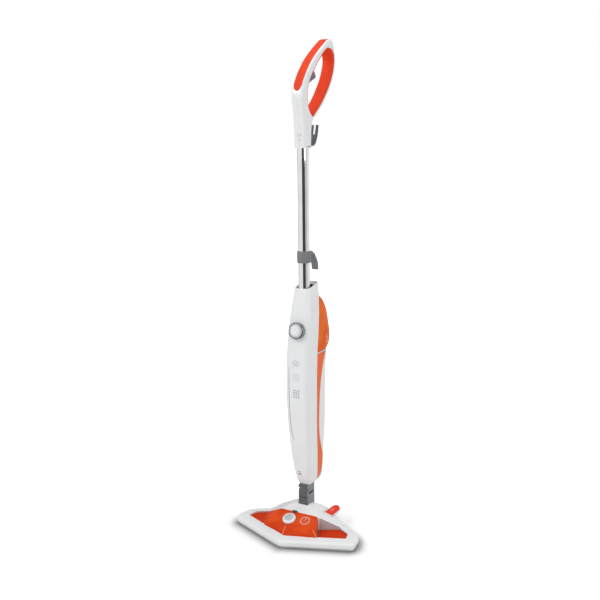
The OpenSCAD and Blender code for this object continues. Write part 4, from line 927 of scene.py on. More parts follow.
# ---------------------------------------------------------------- neck
def neck():
    # yoke: boss in the head, block and the two cheeks of the fork, all of one width
    boss = arc(2, 40, 15, 160, 380, 22)
    side = [(-16.5, 55), (-16.5, 84), (20.5, 84), (20.5, 55), (18.5, 52)] + boss[::-1] + [(-15.0, 52)]
    points, faces = slab(anticlockwise(side), [], -13, 13, (1.0, 1.0), (0, 0), 4)
    piece("neck_block", points, faces, NECK, "yoke", ("swivel_yoke",), "neck_grey", 40)
    for name, low, high in (("neck_fork_front", -16.5, -9.5), ("neck_fork_rear", 13.5, 20.5)):
        cheek = [(-13, 82)] + arc(0, 98, 13, 180, 0, 24) + [(13, 82)]
        points, faces = slab(cheek, [], low, high, (0.9, 0.9), (0, 0), 4)
        points = [(y, x, z) for x, y, z in points]
        faces = [face[::-1] for face in faces]
        piece(name, points, faces, NECK, "yoke", ("swivel_yoke",), "neck_grey", 40)
    for y, name in ((-16.5, "neck_cap_front"), (20.5, "neck_cap_rear")):
        out = -1 if y < 0 else 1
        points, faces = lathe([(0, 0.35), (4.6, 0.35), (5.4, 0.1), (5.6, -0.6)], 48)
        turn = Matrix.Translation((0, y, 98)) @ Matrix.Rotation(math.radians(-90 * out), 4, "X")
        piece(name, placed(points, turn), faces, NECK, "yoke", (), "neck_grey")
    # the tongue between the cheeks, and the collar over them that goes up under the chin
    cheek = arc(0, 98, 12.8, 180, 360, 24)
    side = cheek + [(12.8, 113), (-12.8, 113)]
    points, faces = slab(side, [], -9.2, 13.2, (0.6, 0.6), (0, 0), 4)
    points = [(y, x, z) for x, y, z in points]
    faces = [face[::-1] for face in faces]
    piece("neck_stem", points, faces, NECK, "main_unit", ("neck_tongue",), "neck_grey", 40)
    collar = [(-16.5, 111.4), (-16.5, 115.4), (-9.0, 115.4), (13.2, 115.4), (20.5, 115.4), (20.5, 111.4)]
    points, faces = slab(anticlockwise(collar), [], -13, 13, (0.7, 0.7), (0, 0), 4)
    piece("neck_collar", points, faces, NECK, "main_unit", ("neck_tongue",), "neck_grey", 40)
    skirt = arc(0, 98, 13.3, 60, 120, 8) + [(-13, 105.95), (-13, 112), (13, 112), (13, 105.95)]
    saddle = arc(0, 98, 13.3, 240, 300, 8) + [(13, 90.05), (13, 83), (-13, 83), (-13, 90.05)]
    for name, outline, low, high, body, node in (
        ("neck_skirt_front", skirt, -16.5, -9.5, "main_unit", "neck_tongue"),
        ("neck_skirt_rear", skirt, 13.5, 20.5, "main_unit", "neck_tongue"),
        ("neck_saddle", saddle, -9.6, 13.6, "yoke", "swivel_yoke"),
    ):
        points, faces = slab(outline, [], low, high, (0.3, 0.3), (0, 0), 2)
        points = [(y, x, z) for x, y, z in points]
        faces = [face[::-1] for face in faces]
        piece(name, points, faces, NECK, body, (node,), "neck_grey", 40)
    spigot = [(-6.2, 114), (-6.2, 150), (10.2, 150), (10.2, 114)]
    points, faces = slab(spigot, [], -10, 10, (0.5, 0.5), (0, 0), 3)
    piece("neck_spigot", points, faces, NECK, "main_unit", ("neck_tongue",), "neck_grey", 40)
    points, faces = lathe([(0, 0.3), (1.5, 0.3), (2.0, 0.0), (2.0, -0.5)], 24)
    turn = Matrix.Translation((13, -3.6, 78)) @ Matrix.Rotation(math.radians(90), 4, "Y")
    piece("neck_side_dot", placed(points, turn), faces, NECK_DARK, "yoke", (), "neck_grey")


# ---------------------------------------------------------------- body
half_w = table([
    (110, 12.6), (114, 14.6), (118, 16.5), (128, 19.8), (140, 21.8), (160, 24.6), (200, 28.5), (230, 30.5),
    (285, 32.5), (350, 33.3), (420, 33), (470, 32.4), (540, 29.8), (570, 27.2), (594, 24.6), (640, 19.5),
])
front_y = table([
    (110, -8.6), (114, -10.6), (118, -12.8), (128, -17), (140, -20.4), (160, -24.6), (200, -31), (230, -35),
    (285, -41), (350, -45.5), (380, -45.8), (420, -44.8), (470, -41.2), (540, -30.7), (570, -25.2),
    (594, -20.4), (640, -12.6),
])
back_y = table([
    (110, 42), (114, 46), (118, 50), (122, 51.5), (128, 52), (150, 51.2), (175, 49.8), (200, 49.3),
    (230, 51),
    (260, 53.5), (285, 54.5), (350, 55), (400, 57), (420, 59.5), (460, 65.5), (594, 40.5), (640, 36),
])
front_r = table([(110, 9), (160, 12), (370, 15), (640, 12)])
back_r = table([(110, 5), (114, 5), (130, 6), (160, 9), (200, 13), (285, 15.5), (370, 17), (640, 12)])
strip_front = table([
    (110, 24), (114, 24), (118, 25.4), (120, 26), (130, 22.7), (145, 20.5), (160, 16.5), (285, 0.6),
    (370, 0), (460, 5.4),
])
strip_back = table([
    (110, 24), (114, 24), (118, 25.4), (120, 29.5), (124, 35), (130, 41), (140, 43.5), (165, 43.5),
    (180, 42),
    (200, 33), (210, 28), (240, 17), (285, 11.5), (330, 13), (370, 18), (420, 32), (460, 50),
])
tank_front = table([(457, 5.2), (462, 5.4), (500, 12.6), (533, 18), (560, 23), (594, 28), (640, 30)])
tank_back = table([
    (457, 71), (462, 79), (470, 88.5), (480, 92), (490, 93), (500, 92), (515, 88.5), (530, 84.3),
    (545, 80), (560, 73.5), (576, 62), (586, 50), (593, 38),
])
CROWN = 1.2
WALL = 2.4
RIM = 616.0
RIM_SLOPE = 0.235
TANK_LOW = 456.8
TANK_HIGH = 592.7
KNOB = Matrix.Translation((0, -34.15, 517)) @ Matrix.Rotation(math.radians(90) - math.atan(0.15), 4, "X")


def part_line(z):
    return strip_front(z) if z < TANK_LOW else tank_front(z)


def front_edge(z, y, inset, bevel):
    """Front part of the section at height z, from its left edge round to its right edge."""
    w, f, r = half_w(z), front_y(z), front_r(z)
    flat = w - r
    lift = CROWN * (flat / w) ** 2
    left = [(-x, q) for x, q in arc(flat, f + r + lift, r - inset, 360, 270, 9)]
    middle = [(x, f + inset + CROWN * (x / w) ** 2) for x in spread(-flat, flat, 11)[1:-1]]
    right = arc(flat, f + r + lift, r - inset, 270, 360, 9)
    ends = [(-w + inset + bevel, y), (-w + inset, y - bevel * 1.5)]
    return ends + left + middle + right + [(w - inset, y - bevel * 1.5), (w - inset - bevel, y)]


def arc_start(z, y, inset):
    reach = (y - back_y(z) + back_r(z)) / (back_r(z) - inset)
    return 0.0 if reach <= 0 else math.degrees(math.asin(min(reach, 0.985)))


def side_at(z, y, inset=0.0):
    return half_w(z) - back_r(z) + (back_r(z) - inset) * math.cos(math.radians(arc_start(z, y, inset)))


def rear_edge(z, y, inset, bevel):
    w, b, r = half_w(z), back_y(z), back_r(z)
    first = y + bevel * 1.5
    start = arc_start(z, first, inset)
    right = arc(w - r, b - r, r - inset, start, 90, 12)
    flat = w - r
    middle = [(x, b - inset) for x in spread(flat, -flat, 9)[1:-1]] if flat > 1 else []
    left = [(-x, q) for x, q in reversed(right)]
    x0 = side_at(z, y, inset)
    x1 = side_at(z, first, inset)
    return [(x0 - bevel, y), (x1, first)] + right + middle + left + [(-x1, first), (-x0 + bevel, y)]


def side_edge(z, inset, bevel):
    y0, y1 = strip_front(z) + 0.15, strip_back(z) - 0.15
    run = [(side_at(z, y, inset), y) for y in spread(y0, y1, 11)]
    step = min(bevel, (y1 - y0) * 0.2)
    outer = [(run[0][0] - step, y0), (side_at(z, y0 + step * 1.4, inset), y0 + step * 1.4)] + run[1:-1]
    return outer + [(side_at(z, y1 - step * 1.4, inset), y1 - step * 1.4), (run[-1][0] - step, y1)]


def casing(name, rows, edge, material, nodes, slot, side=1, holes=()):
    """Open casing: rows are (height, edge inset, slope), edge(z, inset, bevel) draws one height."""
    rings = []
    for z, inset, slope in rows:
        outer = edge(z, inset, 0.4)
        inner = edge(z, WALL, 0.0)
        ring = outer + inner[::-1]
        rings.append([(side * x, y, z + slope * (y - front_y(RIM))) for x, y in ring])
    count = len(rings[0])
    points, faces = joined(rings, caps=(False, False))
    half = count // 2
    top = (len(rings) - 1) * count
    for j in range(half - 1):
        faces.append((j, count - 1 - j, count - 2 - j, j + 1))
        faces.append((top + j, top + j + 1, top + count - 2 - j, top + count - 1 - j))
    if holes:
        mesh = bpy.data.meshes.new(name)
        mesh.from_pydata([Vector(p) * MM for p in points], [], faces)
        tidy = bmesh.new()
        tidy.from_mesh(mesh)
        bmesh.ops.recalc_face_normals(tidy, faces=tidy.faces)
        tidy.to_mesh(mesh)
        tidy.free()
        return wear(name, carve(mesh, holes), material, "main_unit", nodes, slot, 30)
    return piece(name, points, faces, material, "main_unit", nodes, slot, 30)


def chin_rows(low):
    return [(low - 1.1, 2.2, 0), (low - 0.8, 1.2, 0), (low - 0.2, 0.45, 0), (low + 0.8, 0.0, 0)]


def body():
    rows = chin_rows(116)
    rows += [(z, 0, 0) for z in spread(119, 456, 68) + spread(457.5, 612, 34)]
    rows += [(RIM - 1.0, 0.0, RIM_SLOPE), (RIM - 0.25, 0.3, RIM_SLOPE), (RIM, 0.9, RIM_SLOPE)]
    casing("front_casing", rows, lambda z, i, b: front_edge(z, part_line(z) - 0.15, i, b),
           WHITE, ("front_shell",), "white_plastic")
    rows = chin_rows(116) + [(z, 0, 0) for z in spread(119, 450, 60)] + [(451.4, 0.1, 0), (452, 0.6, 0)]
    latch_room = box_mesh("latch_room", (-11.0, back_y(437) - 20, 429.0), (11.0, back_y(437) + 9, 445.0))
    casing("rear_casing", rows, lambda z, i, b: rear_edge(z, strip_back(z) + 0.15, i, b),
           WHITE, ("rear_shell",), "white_plastic", 1, [("DIFFERENCE", latch_room)])
    rows = [(120, 0.3, 0), (120.6, 0, 0)] + [(z, 0, 0) for z in spread(122, 451, 66)] + [(452, 0.4, 0)]
    casing("side_strip_right", rows, side_edge, ORANGE, ("right_side_strip",), "orange_plastic")
    casing("side_strip_left", rows, side_edge, ORANGE, ("left_side_strip",), "orange_plastic", -1)
    rows = [(594, 0.5, 0), (594.6, 0.0, 0), (598, 0, 0), (603, 0, 0), (608, 0, 0)]
    rows += [(RIM - 1.0, 0.0, RIM_SLOPE), (RIM - 0.25, 0.3, RIM_SLOPE), (RIM, 0.9, RIM_SLOPE)]
    casing("rear_collar_ring", rows, lambda z, i, b: rear_edge(z, part_line(z) + 0.15, i, b),
           WHITE, ("rear_collar",), "white_plastic")


def front_point(x, z):
    """Point and outward direction on the smooth front at x and height z."""
    def depth(x, z):
        w, f, r = half_w(z), front_y(z), front_r(z)
        flat = w - r
        over = abs(x) - flat
        if over <= 0:
            return f + CROWN * (x / w) ** 2
        return f + CROWN * (flat / w) ** 2 + r - math.sqrt(max(r * r - over * over, 0.0))
    here = depth(x, z)
    dx = (depth(x + 0.2, z) - depth(x - 0.2, z)) / 0.4
    dz = (depth(x, z + 0.5) - depth(x, z - 0.5))
    return (x, here, z), Vector((dx, -1, dz)).normalized()


def on_front(name, run, width, proud, material, slot="grey_plastic"):
    """A thin line that lies on the front casing through (x, height) points."""
    spots = [front_point(x, z) for x, z in run]
    points, faces = ribbon([s[0] for s in spots], [s[1] for s in spots], width, proud)
    return piece(name, points, faces, material, "main_unit", (), slot, 60)


def circle(cx, cz, r, start=0, end=360, spans=28):
    angles = [math.radians(a) for a in spread(start, end, spans)]
    return [(cx + r * math.cos(a), cz + r * math.sin(a)) for a in angles]


def front_details():
    run, widths = [], []
    for z in spread(430, 238, 70):
        low = max(0.0, 300 - z) / 75
        run.append((-20 * math.sqrt(max(0.0, 1 - low ** 2.2)), z))
        widths.append(1.8 * min(1.0, 0.4 + (430 - z) / 70, 0.3 + (z - 226) / 40))
    spots = [front_point(x, z) for x, z in run]
    points, faces = ribbon([s[0] for s in spots], [s[1] for s in spots], widths, 0.25)
    piece("front_line", points, faces, TRIM_GREY, "main_unit", ("front_trim",), "grey_plastic", 60)
    # three plain symbols: two leaves with a stalk, a floor dial, a block of pile
    for index, (cx, cz) in enumerate(((-4.6, 439.5), (3.6, 436.0))):
        run = [(cx + 4.2 * math.cos(a) - 2.9 * math.sin(a), cz + 5.6 * math.cos(a) + 2.9 * math.sin(a))
               for a in spread(0, 2 * math.pi, 26)]
        on_front(f"symbol_leaf_{index + 1}", run, 1.5, 0.1, GREY_INK)
        vein = [(cx - 2.4 + 4.8 * t, cz - 2.2 + 4.4 * t) for t in spread(0, 1, 6)]
        on_front(f"symbol_vein_{index + 1}", vein, 1.6, 0.1, GREY_INK)
    on_front("symbol_stalk", [(-6.5 - 2.5 * t, 430 - 5 * t) for t in spread(0, 1, 6)], 1.3, 0.1, GREY_INK)
    on_front("symbol_dial_ring", circle(0, 403, 8.5, 20, 380, 40), 1.5, 0.1, GREY_INK)
    on_front("symbol_dial_dot", circle(0, 403, 1.3, 0, 355, 16), 2.2, 0.1, GREY_INK)
    for index, z in enumerate((353.4, 359.0, 364.6, 370.2)):
        for place, x in enumerate((-6.6, 0, 6.6)):
            tuft = [(x + t, z) for t in spread(-2.6, 2.6, 5)]
            on_front(f"symbol_pile_{index + 1}_{place + 1}", tuft, 4.2, 0.08, GREY_INK)
    # plain release mark low on the left of the front
    on_front("release_mark_ring", circle(-6, 150, 3.6, -30, 210, 18), 1.5, 0.12, DARK_INK)
    on_front("release_mark_bar", [(x, 145.4) for x in spread(-10, -2, 8)], 4.6, 0.12, DARK_INK)
    on_front("release_mark_keyhole", [(x, 145.4) for x in spread(-7, -5, 4)], 2.0, 0.2, WHITE)
    # seam of the cap on each side
    for side, name in ((1, "cap_seam_right"), (-1, "cap_seam_left")):
        run, out = [], []
        for t in spread(0, 1, 14):
            y, z = -16 + 36 * t, 562 + 10 * t
            run.append((side * (half_w(z) + 0.02), y, z))
            out.append((side, 0, 0))
        points, faces = ribbon(run, out, 0.7, 0.03)
        piece(name, points, faces, GREY_INK, "main_unit", (), "grey_plastic", 60)


def regulator():
    points, faces = lathe([
        (18.0, 0.4), (18.0, 10.4), (18.3, 11.2), (18.9, 11.6), (19.6, 11.3), (20.0, 10.4), (20.0, -1.6),
        (18.0, -1.6), (18.0, 0.4),
    ], 128)
    piece("regulator_ring", placed(points, KNOB), faces, DARK_CHROME, "main_unit", ("knob_bezel",),
          "dark_chrome", 50)
    rings = []
    spans = 288
    profile = [
        (17.2, 1.6), (17.6, 2.2), (17.6, 10.6), (17.5, 11.6), (17.1, 12.4), (16.4, 13.0), (15.2, 13.5),
        (13.9, 13.9),
        (13.5, 13.9), (13.3, 13.5), (13.2, 12.8), (0.01, 12.8),
    ]
    for i in range(spans):
        a = 2 * math.pi * i / spans
        wave = 0.8 * (0.5 + 0.5 * math.cos(a * 36)) ** 2
        ring = []
        for r, h in profile:
            dip = wave if 3.0 < h < 13.7 and r > 14 else 0.0
            ring.append(((r - dip) * math.cos(a), (r - dip) * math.sin(a), h - dip * 0.5))
        rings.append(ring)
    count = len(profile)
    points = [p for ring in rings for p in ring]
    faces = []
    for i in range(spans):
        n = (i + 1) % spans
        for j in range(count - 1):
            faces.append((i * count + j, n * count + j, n * count + j + 1, i * count + j + 1))
    piece("regulator_grip", placed(points, KNOB), faces, KNOB_GREY, "regulator", ("regulator_knob",),
          "grey_plastic", 40)
    face_profile = [(0.01, 14.2), (8, 14.3), (11.6, 14.25), (12.6, 13.9), (12.9, 13.1), (0.01, 13.1)]
    points, faces = lathe(face_profile, 96)
    piece("regulator_face", placed(points, KNOB), faces, WHITE, "regulator", ("knob_cap",),
          "white_plastic", 40)
    up = KNOB.to_3x3() @ Vector((0, 0, 1))
    run = [(9.6 * math.cos(a), 9.6 * math.sin(a), 14.2) for a in spread(-1.9, 1.0, 24)]
    points, faces = ribbon(placed(run, KNOB), [up] * len(run), 1.0, 0.15)
    piece("regulator_scale_arc", points, faces, GREY_INK, "regulator", (), "grey_plastic")
    run = [(0, 4.0, 14.2), (0, 8.0, 14.2)]
    points, faces = ribbon(placed(run, KNOB), [up] * 2, 1.2, 0.2)
    piece("regulator_mark", points, faces, GREY_INK, "regulator", (), "grey_plastic")


def tank_ring(z, inset, spans=56):
    w, y0, y1 = half_w(z) - inset, tank_front(z) + 0.15 + inset, tank_back(z) - inset
    ring = []
    for i in range(spans + 1):
        a = math.pi * i / spans
        c, s = math.cos(a), math.sin(a)
        ring.append((w * math.copysign(abs(c) ** 0.5, c), y0 + (y1 - y0) * s ** 0.5, z))
    return ring


def water_tank():
    foot = [(TANK_LOW, 2.4), (TANK_LOW + 0.5, 1.2), (TANK_LOW + 1.3, 0.4), (TANK_LOW + 2.4, 0)]
    side = [(z, 0) for z in spread(460.5, 591.4, 44)]
    outer = [tank_ring(z, inset) for z, inset in foot + side + [(592.2, 0.5), (TANK_HIGH, 1.6)]]
    inner = [tank_ring(z, 2.0) for z in spread(459.2, 586, 30)]
    points, faces = joined(outer)
    more, inner_faces = joined(inner)
    shift = len(points)
    faces += [tuple(i + shift for i in reversed(face)) for face in inner_faces]
    piece("tank_shell", points + more, faces, TANK, "tank", ("water_tank",), "orange_tank", 30)
    # moulded level marks on both sides
    for side, name in ((1, "right"), (-1, "left")):
        for index, z in enumerate((474, 480, 486, 492)):
            run, out = [], []
            for y in spread(52, 66 - index * 2, 6):
                reach = (y - tank_front(z)) / (tank_back(z) - tank_front(z))
                x = half_w(z) * max(0.0, 1 - reach ** 4) ** 0.25
                run.append((side * x, y, z))
                out.append((side, 0.55, 0))
            points, faces = ribbon(run, out, 2.6, 0.35)
            piece(f"level_mark_{name}_{index + 1}", points, faces, TANK_PALE, "tank", (), "orange_tank", 60)


def tank_catch():
    grip = []
    y = back_y(437)
    outline = [(-10.6, 429.4), (10.6, 429.4), (10.6, 444.6), (-10.6, 444.6)]
    profile = [(0.0, y - 9), (0.0, y - 0.2), (0.3, y + 0.7), (1.0, y + 1.1)]
    for inset, depth in profile:
        grip.append([(x * (1 - inset / 10.6), depth, z - (z - 437) * inset / 7.6) for x, z in outline])
    points, faces = joined(grip)
    piece("latch_grip", points, faces, ORANGE, "latch", ("tank_latch",), "orange_plastic", 25)
    for index in range(5):
        z = 431.5 + index * 2.75
        run = [(x, y + 1.05, z) for x in spread(-8.4, 8.4, 5)]
        points, faces = ribbon(run, [(0, 1, 0)] * 5, 1.3, 0.7)
        piece(f"latch_rib_{index + 1}", points, faces, ORANGE, "latch", (), "orange_plastic", 60)
    tongue = [(y - 9, 444), (y - 5, 444), (y - 5, 455.5), (y - 7.5, 456.4), (y - 9, 455)]
    points, faces = slab(tongue, [], -4, 4, (0.4, 0.4), (0, 0), 3)
    piece("latch_tongue", points, faces, ORANGE, "latch", ("tank_latch",), "orange_plastic")


# ---------------------------------------------------------------- tube and hooks
CLAMP = 678.0
LOWER_HOOK_OUT = [(15, 27), (26, 26), (37, 19), (48, 8), (56, -6), (59, -24)]
LOWER_HOOK_IN = [(54, -24), (50, -8), (43, 3), (33, 12), (24, 16), (15, 17)]
UPPER_HOOK_OUT = [(23, -5), (34, -5.5), (44, -1.5), (51, 8), (57, 21), (62, 44)]
UPPER_HOOK_IN = [(58, 44), (52, 22), (46, 11), (39.5, 3.5), (32, 0.5), (23, 1)]
HOOK_Z = 958.0


def hooks():
    points, faces = lathe([
        (14.06, 0.4), (14.3, 0.05), (16.0, 0.0), (16.6, 0.4), (16.85, 1.2), (16.85, 26.8), (16.6, 27.6),
        (16.0, 28.0),
        (14.3, 27.95), (14.06, 27.6), (14.06, 0.4),
    ], 128)
    piece("clamp_ring", [(x, y, z + CLAMP) for x, y, z in points], faces, HOOK, "main_unit",
          ("lower_hook",), "hook_grey", 50)
    outline = smooth_path(LOWER_HOOK_OUT, 8) + smooth_path(LOWER_HOOK_IN, 8)
    outline = [(y, z + CLAMP) for y, z in outline]
    points, faces = slab(outline, [], -8.5, 8.5, (1.2, 1.2), (0, 0), 5)
    piece("cord_hook_lower", points, faces, HOOK, "main_unit", ("lower_hook",), "hook_grey", 38)
    lug = [(y, z + CLAMP) for y, z in ((14.6, 4), (22, 4), (22, 24), (14.6, 24))]
    points, faces = slab(lug, [], -6.5, 6.5, (0.8, 0.8), (0, 0), 3)
    piece("clamp_lug", points, faces, HOOK, "main_unit", ("lower_hook",), "hook_grey")
    points, faces = lathe([(0.01, 0.1), (2.6, 0.1), (3.2, -0.3), (4.6, -0.2), (5.0, -0.9)], 40)
    spot = Matrix.Translation((8.5, 36, CLAMP + 15)) @ Matrix.Rotation(math.radians(90), 4, "Y")
    piece("hook_screw_cap", placed(points, spot), faces, NECK_DARK, "main_unit", (), "hook_grey", 40)
    for side, name in ((1, "right"), (-1, "left")):
        outline = smooth_path(UPPER_HOOK_OUT, 8) + smooth_path(UPPER_HOOK_IN, 8)
        low = 3.0 if side > 0 else -9.5
        outline = [(y, z + HOOK_Z) for y, z in outline]
        points, faces = slab(outline, [], low, low + 6.5, (1.0, 1.0), (0, 0), 4)
        piece(f"cord_hook_prong_{name}", points, faces, DARK_HOOK, "cord_hook", ("upper_hook",),
              "dark_hook", 38)
    outline = smooth_path(UPPER_HOOK_OUT[:5], 8) + smooth_path(UPPER_HOOK_IN[1:], 8)
    points, faces = slab([(y, z + HOOK_Z) for y, z in outline], [], -5.5, 5.5, (0.6, 0.6), (0, 0), 3)
    piece("cord_hook_web", points, faces, DARK_HOOK, "cord_hook", ("upper_hook",), "dark_hook", 38)
    pad_profile = [(0.01, 23.9), (6.8, 23.9), (7.7, 23.4), (8.0, 22.4), (8.0, 19.4), (0.01, 19.4)]
    points, faces = lathe(pad_profile, 64)
    spot = Matrix.Translation((0, 0, HOOK_Z)) @ Matrix.Rotation(math.radians(-90), 4, "X")
    piece("cord_hook_pad", placed(points, spot), faces, DARK_HOOK, "cord_hook", ("upper_hook",),
          "dark_hook", 40)


# ---------------------------------------------------------------- handle
HANDLE = [
    (-15.5, 948), (-17.5, 985), (-19.5, 1020), (-24.2, 1044), (-28.5, 1064), (-22.5, 1088), (-7.5, 1112),
    (9, 1131), (27, 1149), (49, 1166), (71, 1181), (93, 1195), (109, 1203), (122, 1203), (131, 1194),
    (136, 1178), (138, 1156), (134, 1135), (125.5, 1115), (114, 1096), (99, 1078), (83, 1061),
    (66, 1045), (48, 1031), (33, 1020), (23, 1008), (18, 994), (16.5, 975), (15.5, 948),
]
LOOP = [
    (18, 1026), (7, 1037), (0.5, 1052), (0.5, 1070), (3.5, 1086), (14, 1105), (31, 1124), (47, 1141),
    (65, 1156), (83, 1170), (96, 1177), (108, 1178), (119, 1172), (126, 1162), (127, 1150),
    (122, 1136), (115, 1121.5), (104.5, 1104.5), (90.5, 1087), (74.5, 1069), (58.5, 1054),
    (41, 1040), (28, 1030),
]
LINER = [
    (18, 1021.5), (4, 1034), (-3.5, 1051), (-3.5, 1071), (0, 1088), (11, 1108), (28.5, 1127.5), (45, 1144.5),
    (63, 1159.5), (81, 1173.5), (95, 1181), (109, 1182.5), (124, 1179), (133.5, 1168), (136, 1153),
    (132.5, 1135), (124, 1115.8), (112.8, 1097.8), (97.8, 1079.8), (81.8, 1062.6), (64.8, 1046.6),
    (47.2, 1032.9), (32.5, 1021.5),
]
TRIGGER_SHAPE = [
    (31.5, 1138), (42, 1130), (52, 1118), (54.5, 1113), (52, 1109.5), (30, 1100), (12, 1092.5), (4, 1086),
    (-4, 1080), (-8, 1080.5), (-4, 1089), (4, 1103), (14, 1118), (24, 1132),
]
SEAM_GAP = 0.08


def handle():
    outer = smooth_path(HANDLE, 7)
    hole = smooth_loop(LINER, 7)
    for side, name, node in (
        (1, "handle_right_half", "right_handle_shell"),
        (-1, "handle_left_half", "left_handle_shell"),
    ):
        low, high = (SEAM_GAP, 15.5) if side > 0 else (-15.5, -SEAM_GAP)
        radii = (0.35, 6.0) if side > 0 else (6.0, 0.35)
        hole_radii = (0.05, 1.0) if side > 0 else (1.0, 0.05)
        points, faces = slab(outer, [hole], low, high, radii, hole_radii, 7)
        piece(name, points, faces, WHITE, "main_unit", (node,), "white_plastic", 34)
    outer = moved_in(anticlockwise(smooth_loop(LINER, 7)), 0.08)
    hole = smooth_loop(LOOP, 7)
    points, faces = slab(outer, [hole], -14.7, 14.7, (0.9, 0.9), (2.4, 2.4), 6)
    piece("grip_lining", points, faces, RED_GRIP, "main_unit", ("grip_liner",), "red_grip", 34)
    inlay()
    points, faces = slab(TRIGGER_ROUND, [], -6.5, 6.5, (1.6, 1.6), (0, 0), 5)
    piece("steam_trigger", points, faces, TRIGGER, "trigger_lever", ("trigger",), "trigger_grey", 38)
    button()


TRIGGER_ROUND = smooth_loop(TRIGGER_SHAPE, 4)


def inlay():
    """Soft strip set in the outer face from the bend of the handle to its top."""
    path = smooth_path(HANDLE[3:15], 12)[18:116]
    total = len(path) - 1
    rings = []
    for i, (y, z) in enumerate(path):
        before = path[max(i - 1, 0)]
        after = path[min(i + 1, total)]
        way = Vector((after[0] - before[0], after[1] - before[1])).normalized()
        out = Vector((-way.y, way.x))
        ends = min(i / 9.0, (total - i) / 9.0, 1.0)
        width = 10.9 * math.sqrt(max(0.0, 1 - (1 - ends) ** 2)) + 0.05
        ring = []
        for t, lift in ((-1, -1.4), (-1, -0.15), (-0.97, 0.12), (-0.86, 0.34), (-0.5, 0.5), (0, 0.55),
                        (0.5, 0.5), (0.86, 0.34), (0.97, 0.12), (1, -0.15), (1, -1.4)):
            ring.append((t * width, y + out.x * lift, z + out.y * lift))
        rings.append(ring)
    points, faces = joined(rings)
    piece("grip_front_strip", points, faces, RED_GRIP, "main_unit", ("grip_inlay",), "red_grip", 50)


def button():
    spot = Matrix.Translation((0, -17.1, 979)) @ Matrix.Rotation(math.radians(90), 4, "X")
    points, faces = lathe([(0.01, 1.1), (3.6, 1.05), (4.5, 0.7), (4.9, 0.0), (4.9, -8.0), (0.01, -8.0)], 64)
    piece("snap_catch", placed(points, spot), faces, WHITE_SHEEN, "snap", ("snap_button",),
          "white_plastic", 40)
    ring_profile = [(5.2, 0.15), (5.5, 0.3), (6.2, 0.3), (6.6, 0.1), (6.6, -1.5), (5.2, -1.5), (5.2, 0.15)]
    points, faces = lathe(ring_profile, 64)
    piece("snap_surround", placed(points, spot), faces, WHITE_SHEEN, "main_unit", (), "white_plastic", 50)
    run = [(x, -16.85, 966) for x in spread(-4, 4, 5)]
    points, faces = ribbon(run, [(0, -1, 0)] * 5, 1.2, 0.5)
    piece("handle_joint_mark", points, faces, GREY_INK, "main_unit", (), "grey_plastic", 60)


# ---------------------------------------------------------------- stage, light and camera
def set_camera():
    angle = math.radians(29)
    tilt = math.atan(152 / 800)
    away = 1904.0
    height = 948.2
    swing = 0.005625
    roll = math.radians(0.6)
    place = Vector((away * math.sin(angle), -away * math.cos(angle), height)) * MM
    level = Vector((-math.sin(angle + swing), math.cos(angle + swing), 0))
    ahead = level * math.cos(tilt) - Vector((0, 0, math.sin(tilt)))
    right = Vector((math.cos(angle + swing), math.sin(angle + swing), 0))
    up = right.cross(ahead)
    right, up = right * math.cos(roll) - up * math.sin(roll), right * math.sin(roll) + up * math.cos(roll)
    lens = bpy.data.cameras.new("camera")
    lens.sensor_width = 36
    lens.lens = 48
    lens.clip_end = 50
    camera = bpy.data.objects.new("camera", lens)
    frame_rows = Matrix((right, up, -ahead)).transposed()
    camera.matrix_world = Matrix.Translation(place) @ frame_rows.to_4x4()
    bpy.context.scene.collection.objects.link(camera)
    bpy.context.scene.camera = camera


def panel(name, place, aim, size, power, tint=(1, 1, 1)):
    light = bpy.data.lights.new(name, "AREA")
    light.shape = "RECTANGLE"
    light.size, light.size_y = size
    light.energy = power
    light.color = tint
    obj = bpy.data.objects.new(name, light)
    obj.location = place
    obj.rotation_euler = (Vector(aim) - Vector(place)).to_track_quat("-Z", "Y").to_euler()
    bpy.context.scene.collection.objects.link(obj)


def world():
    sky = bpy.data.worlds.new("studio")
    bpy.context.scene.world = sky
    sky.use_nodes = True
    tree = sky.node_tree
    tree.nodes.clear()
    finish = Finish.__new__(Finish)
    finish.tree = tree
    rays = tree.nodes.new("ShaderNodeLightPath")
    seen = Wire(finish, rays.outputs["Is Camera Ray"])
    glossy = Wire(finish, rays.outputs["Is Glossy Ray"])
    through = Wire(finish, rays.outputs["Is Transmission Ray"])
    way = tree.nodes.new("ShaderNodeTexCoord")
    parts = tree.nodes.new("ShaderNodeSeparateXYZ")
    tree.links.new(way.outputs["Generated"], parts.inputs[0])
    x, y = Wire(finish, parts.outputs[0]), Wire(finish, parts.outputs[1])
    bearing = finish.add("ShaderNodeMath", {"operation": "ARCTAN2"}, x, -1 * y) * (180 / math.pi)
    # a dark room side towards the front, a grey one to its right, pale elsewhere
    dark = bearing.between(3, 7) * (1 - bearing.between(58, 66))
    grey = bearing.between(60, 66) * (1 - bearing.between(100, 108))
    far = (1 - bearing.between(-112, -92)) * bearing.between(-165, -150)
    room = 1.0 - dark * 0.93 - grey * 0.32 - far * 0.45
    level = finish.add("ShaderNodeMath", {"operation": "MAXIMUM"}, seen, through)
    fill = 0.5 * (1 - glossy) + 0.8 * room * glossy
    total = level + fill * (1 - level)
    back = tree.nodes.new("ShaderNodeBackground")
    tree.links.new(total.socket, back.inputs["Strength"])
    back.inputs["Color"].default_value = (1, 1, 1, 1)
    out = tree.nodes.new("ShaderNodeOutputWorld")
    tree.links.new(back.outputs[0], out.inputs[0])


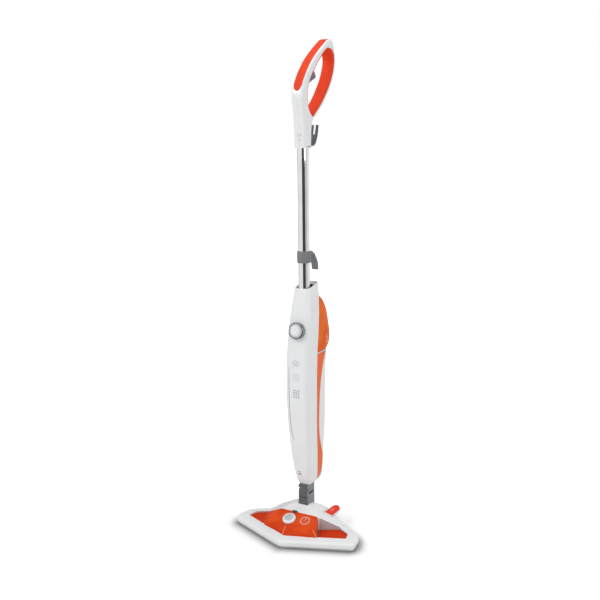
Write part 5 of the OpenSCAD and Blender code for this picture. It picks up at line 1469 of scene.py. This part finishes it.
def floor():
    mesh = bpy.data.meshes.new("floor")
    reach = 60
    low = -0.0004
    corners = [(-reach, -reach, low), (reach, -reach, low), (reach, reach, low), (-reach, reach, low)]
    mesh.from_pydata(corners, [], [(0, 1, 2, 3)])
    finish = Finish("pale_floor")
    rays = finish.tree.nodes.new("ShaderNodeLightPath")
    seen = Wire(finish, rays.outputs["Is Camera Ray"])
    x, y = finish.axis(0), finish.axis(1)
    squared = x * x + y * y
    away = squared.math("SQRT", squared)
    across = x.math("ABSOLUTE", x)
    soft = 0.014
    # how far a spot lies past each side of the head, in metres
    sides = (
        0.370 * across - 0.929 * y + (soft - 0.1291),
        0.986 * across + 0.164 * y + (soft - 0.1538),
        0.512 * across + 0.859 * y + (soft - 0.0651),
        y + (soft - 0.046),
    )
    squares = 0.0
    for past in sides:
        past = past.math("MAXIMUM", past, 0.0)
        squares = past * past + squares
    edge = squares.math("SQRT", squares) - soft
    # painted shadow: near the head's outline the floor glows less and its colour darkens, a painted contact
    # shadow
    lit = 0.19 * edge.between(0.0, 0.05) + 0.16 * edge.between(0.05, 0.14) + 0.5 * away.between(0.35, 1.6)
    glow = finish.mix(seen * lit, (0, 0, 0, 1), (1, 1, 1, 1))
    shade = finish.mix(edge.between(-0.008, 0.028), (0.36, 0.36, 0.36, 1), (0.93, 0.93, 0.93, 1))
    finish.set(Base_Color=shade, Roughness=0.9, Specular_IOR_Level=0.0,
               Emission_Color=glow, Emission_Strength=1.0)
    mesh.materials.append(finish.material)
    obj = bpy.data.objects.new("floor", mesh)
    bpy.context.scene.collection.objects.link(obj)
    obj.visible_glossy = False


KNOB_GREY = moulded("knob_grey", tone(208, 210, 212), 0.32, 0.2)
TRIM_GREY = moulded("trim_grey", tone(150, 154, 158), 0.4, 0.1)
TANK_PALE = moulded("tank_mark", tone(255, 186, 140), 0.3, 0.1)

dress_nodes()
head_cover()
clear_cover()
cloth()
head_details()
selector()
pedal()
neck()
body()
front_details()
regulator()
water_tank()
tank_catch()
hooks()
handle()
springs()
set_camera()
floor()
world()
panel("key", (-1.6, -2.4, 3.0), (0, 0, 0.5), (1.6, 1.6), 44)
panel("fill", (2.6, -1.4, 1.8), (0, 0, 0.6), (1.4, 2.0), 20)
panel("top", (0.2, 0.6, 3.4), (0, 0, 0.2), (2.0, 2.0), 24)

bpy.context.scene.view_settings.view_transform = "Standard"
bpy.context.view_layer.update()
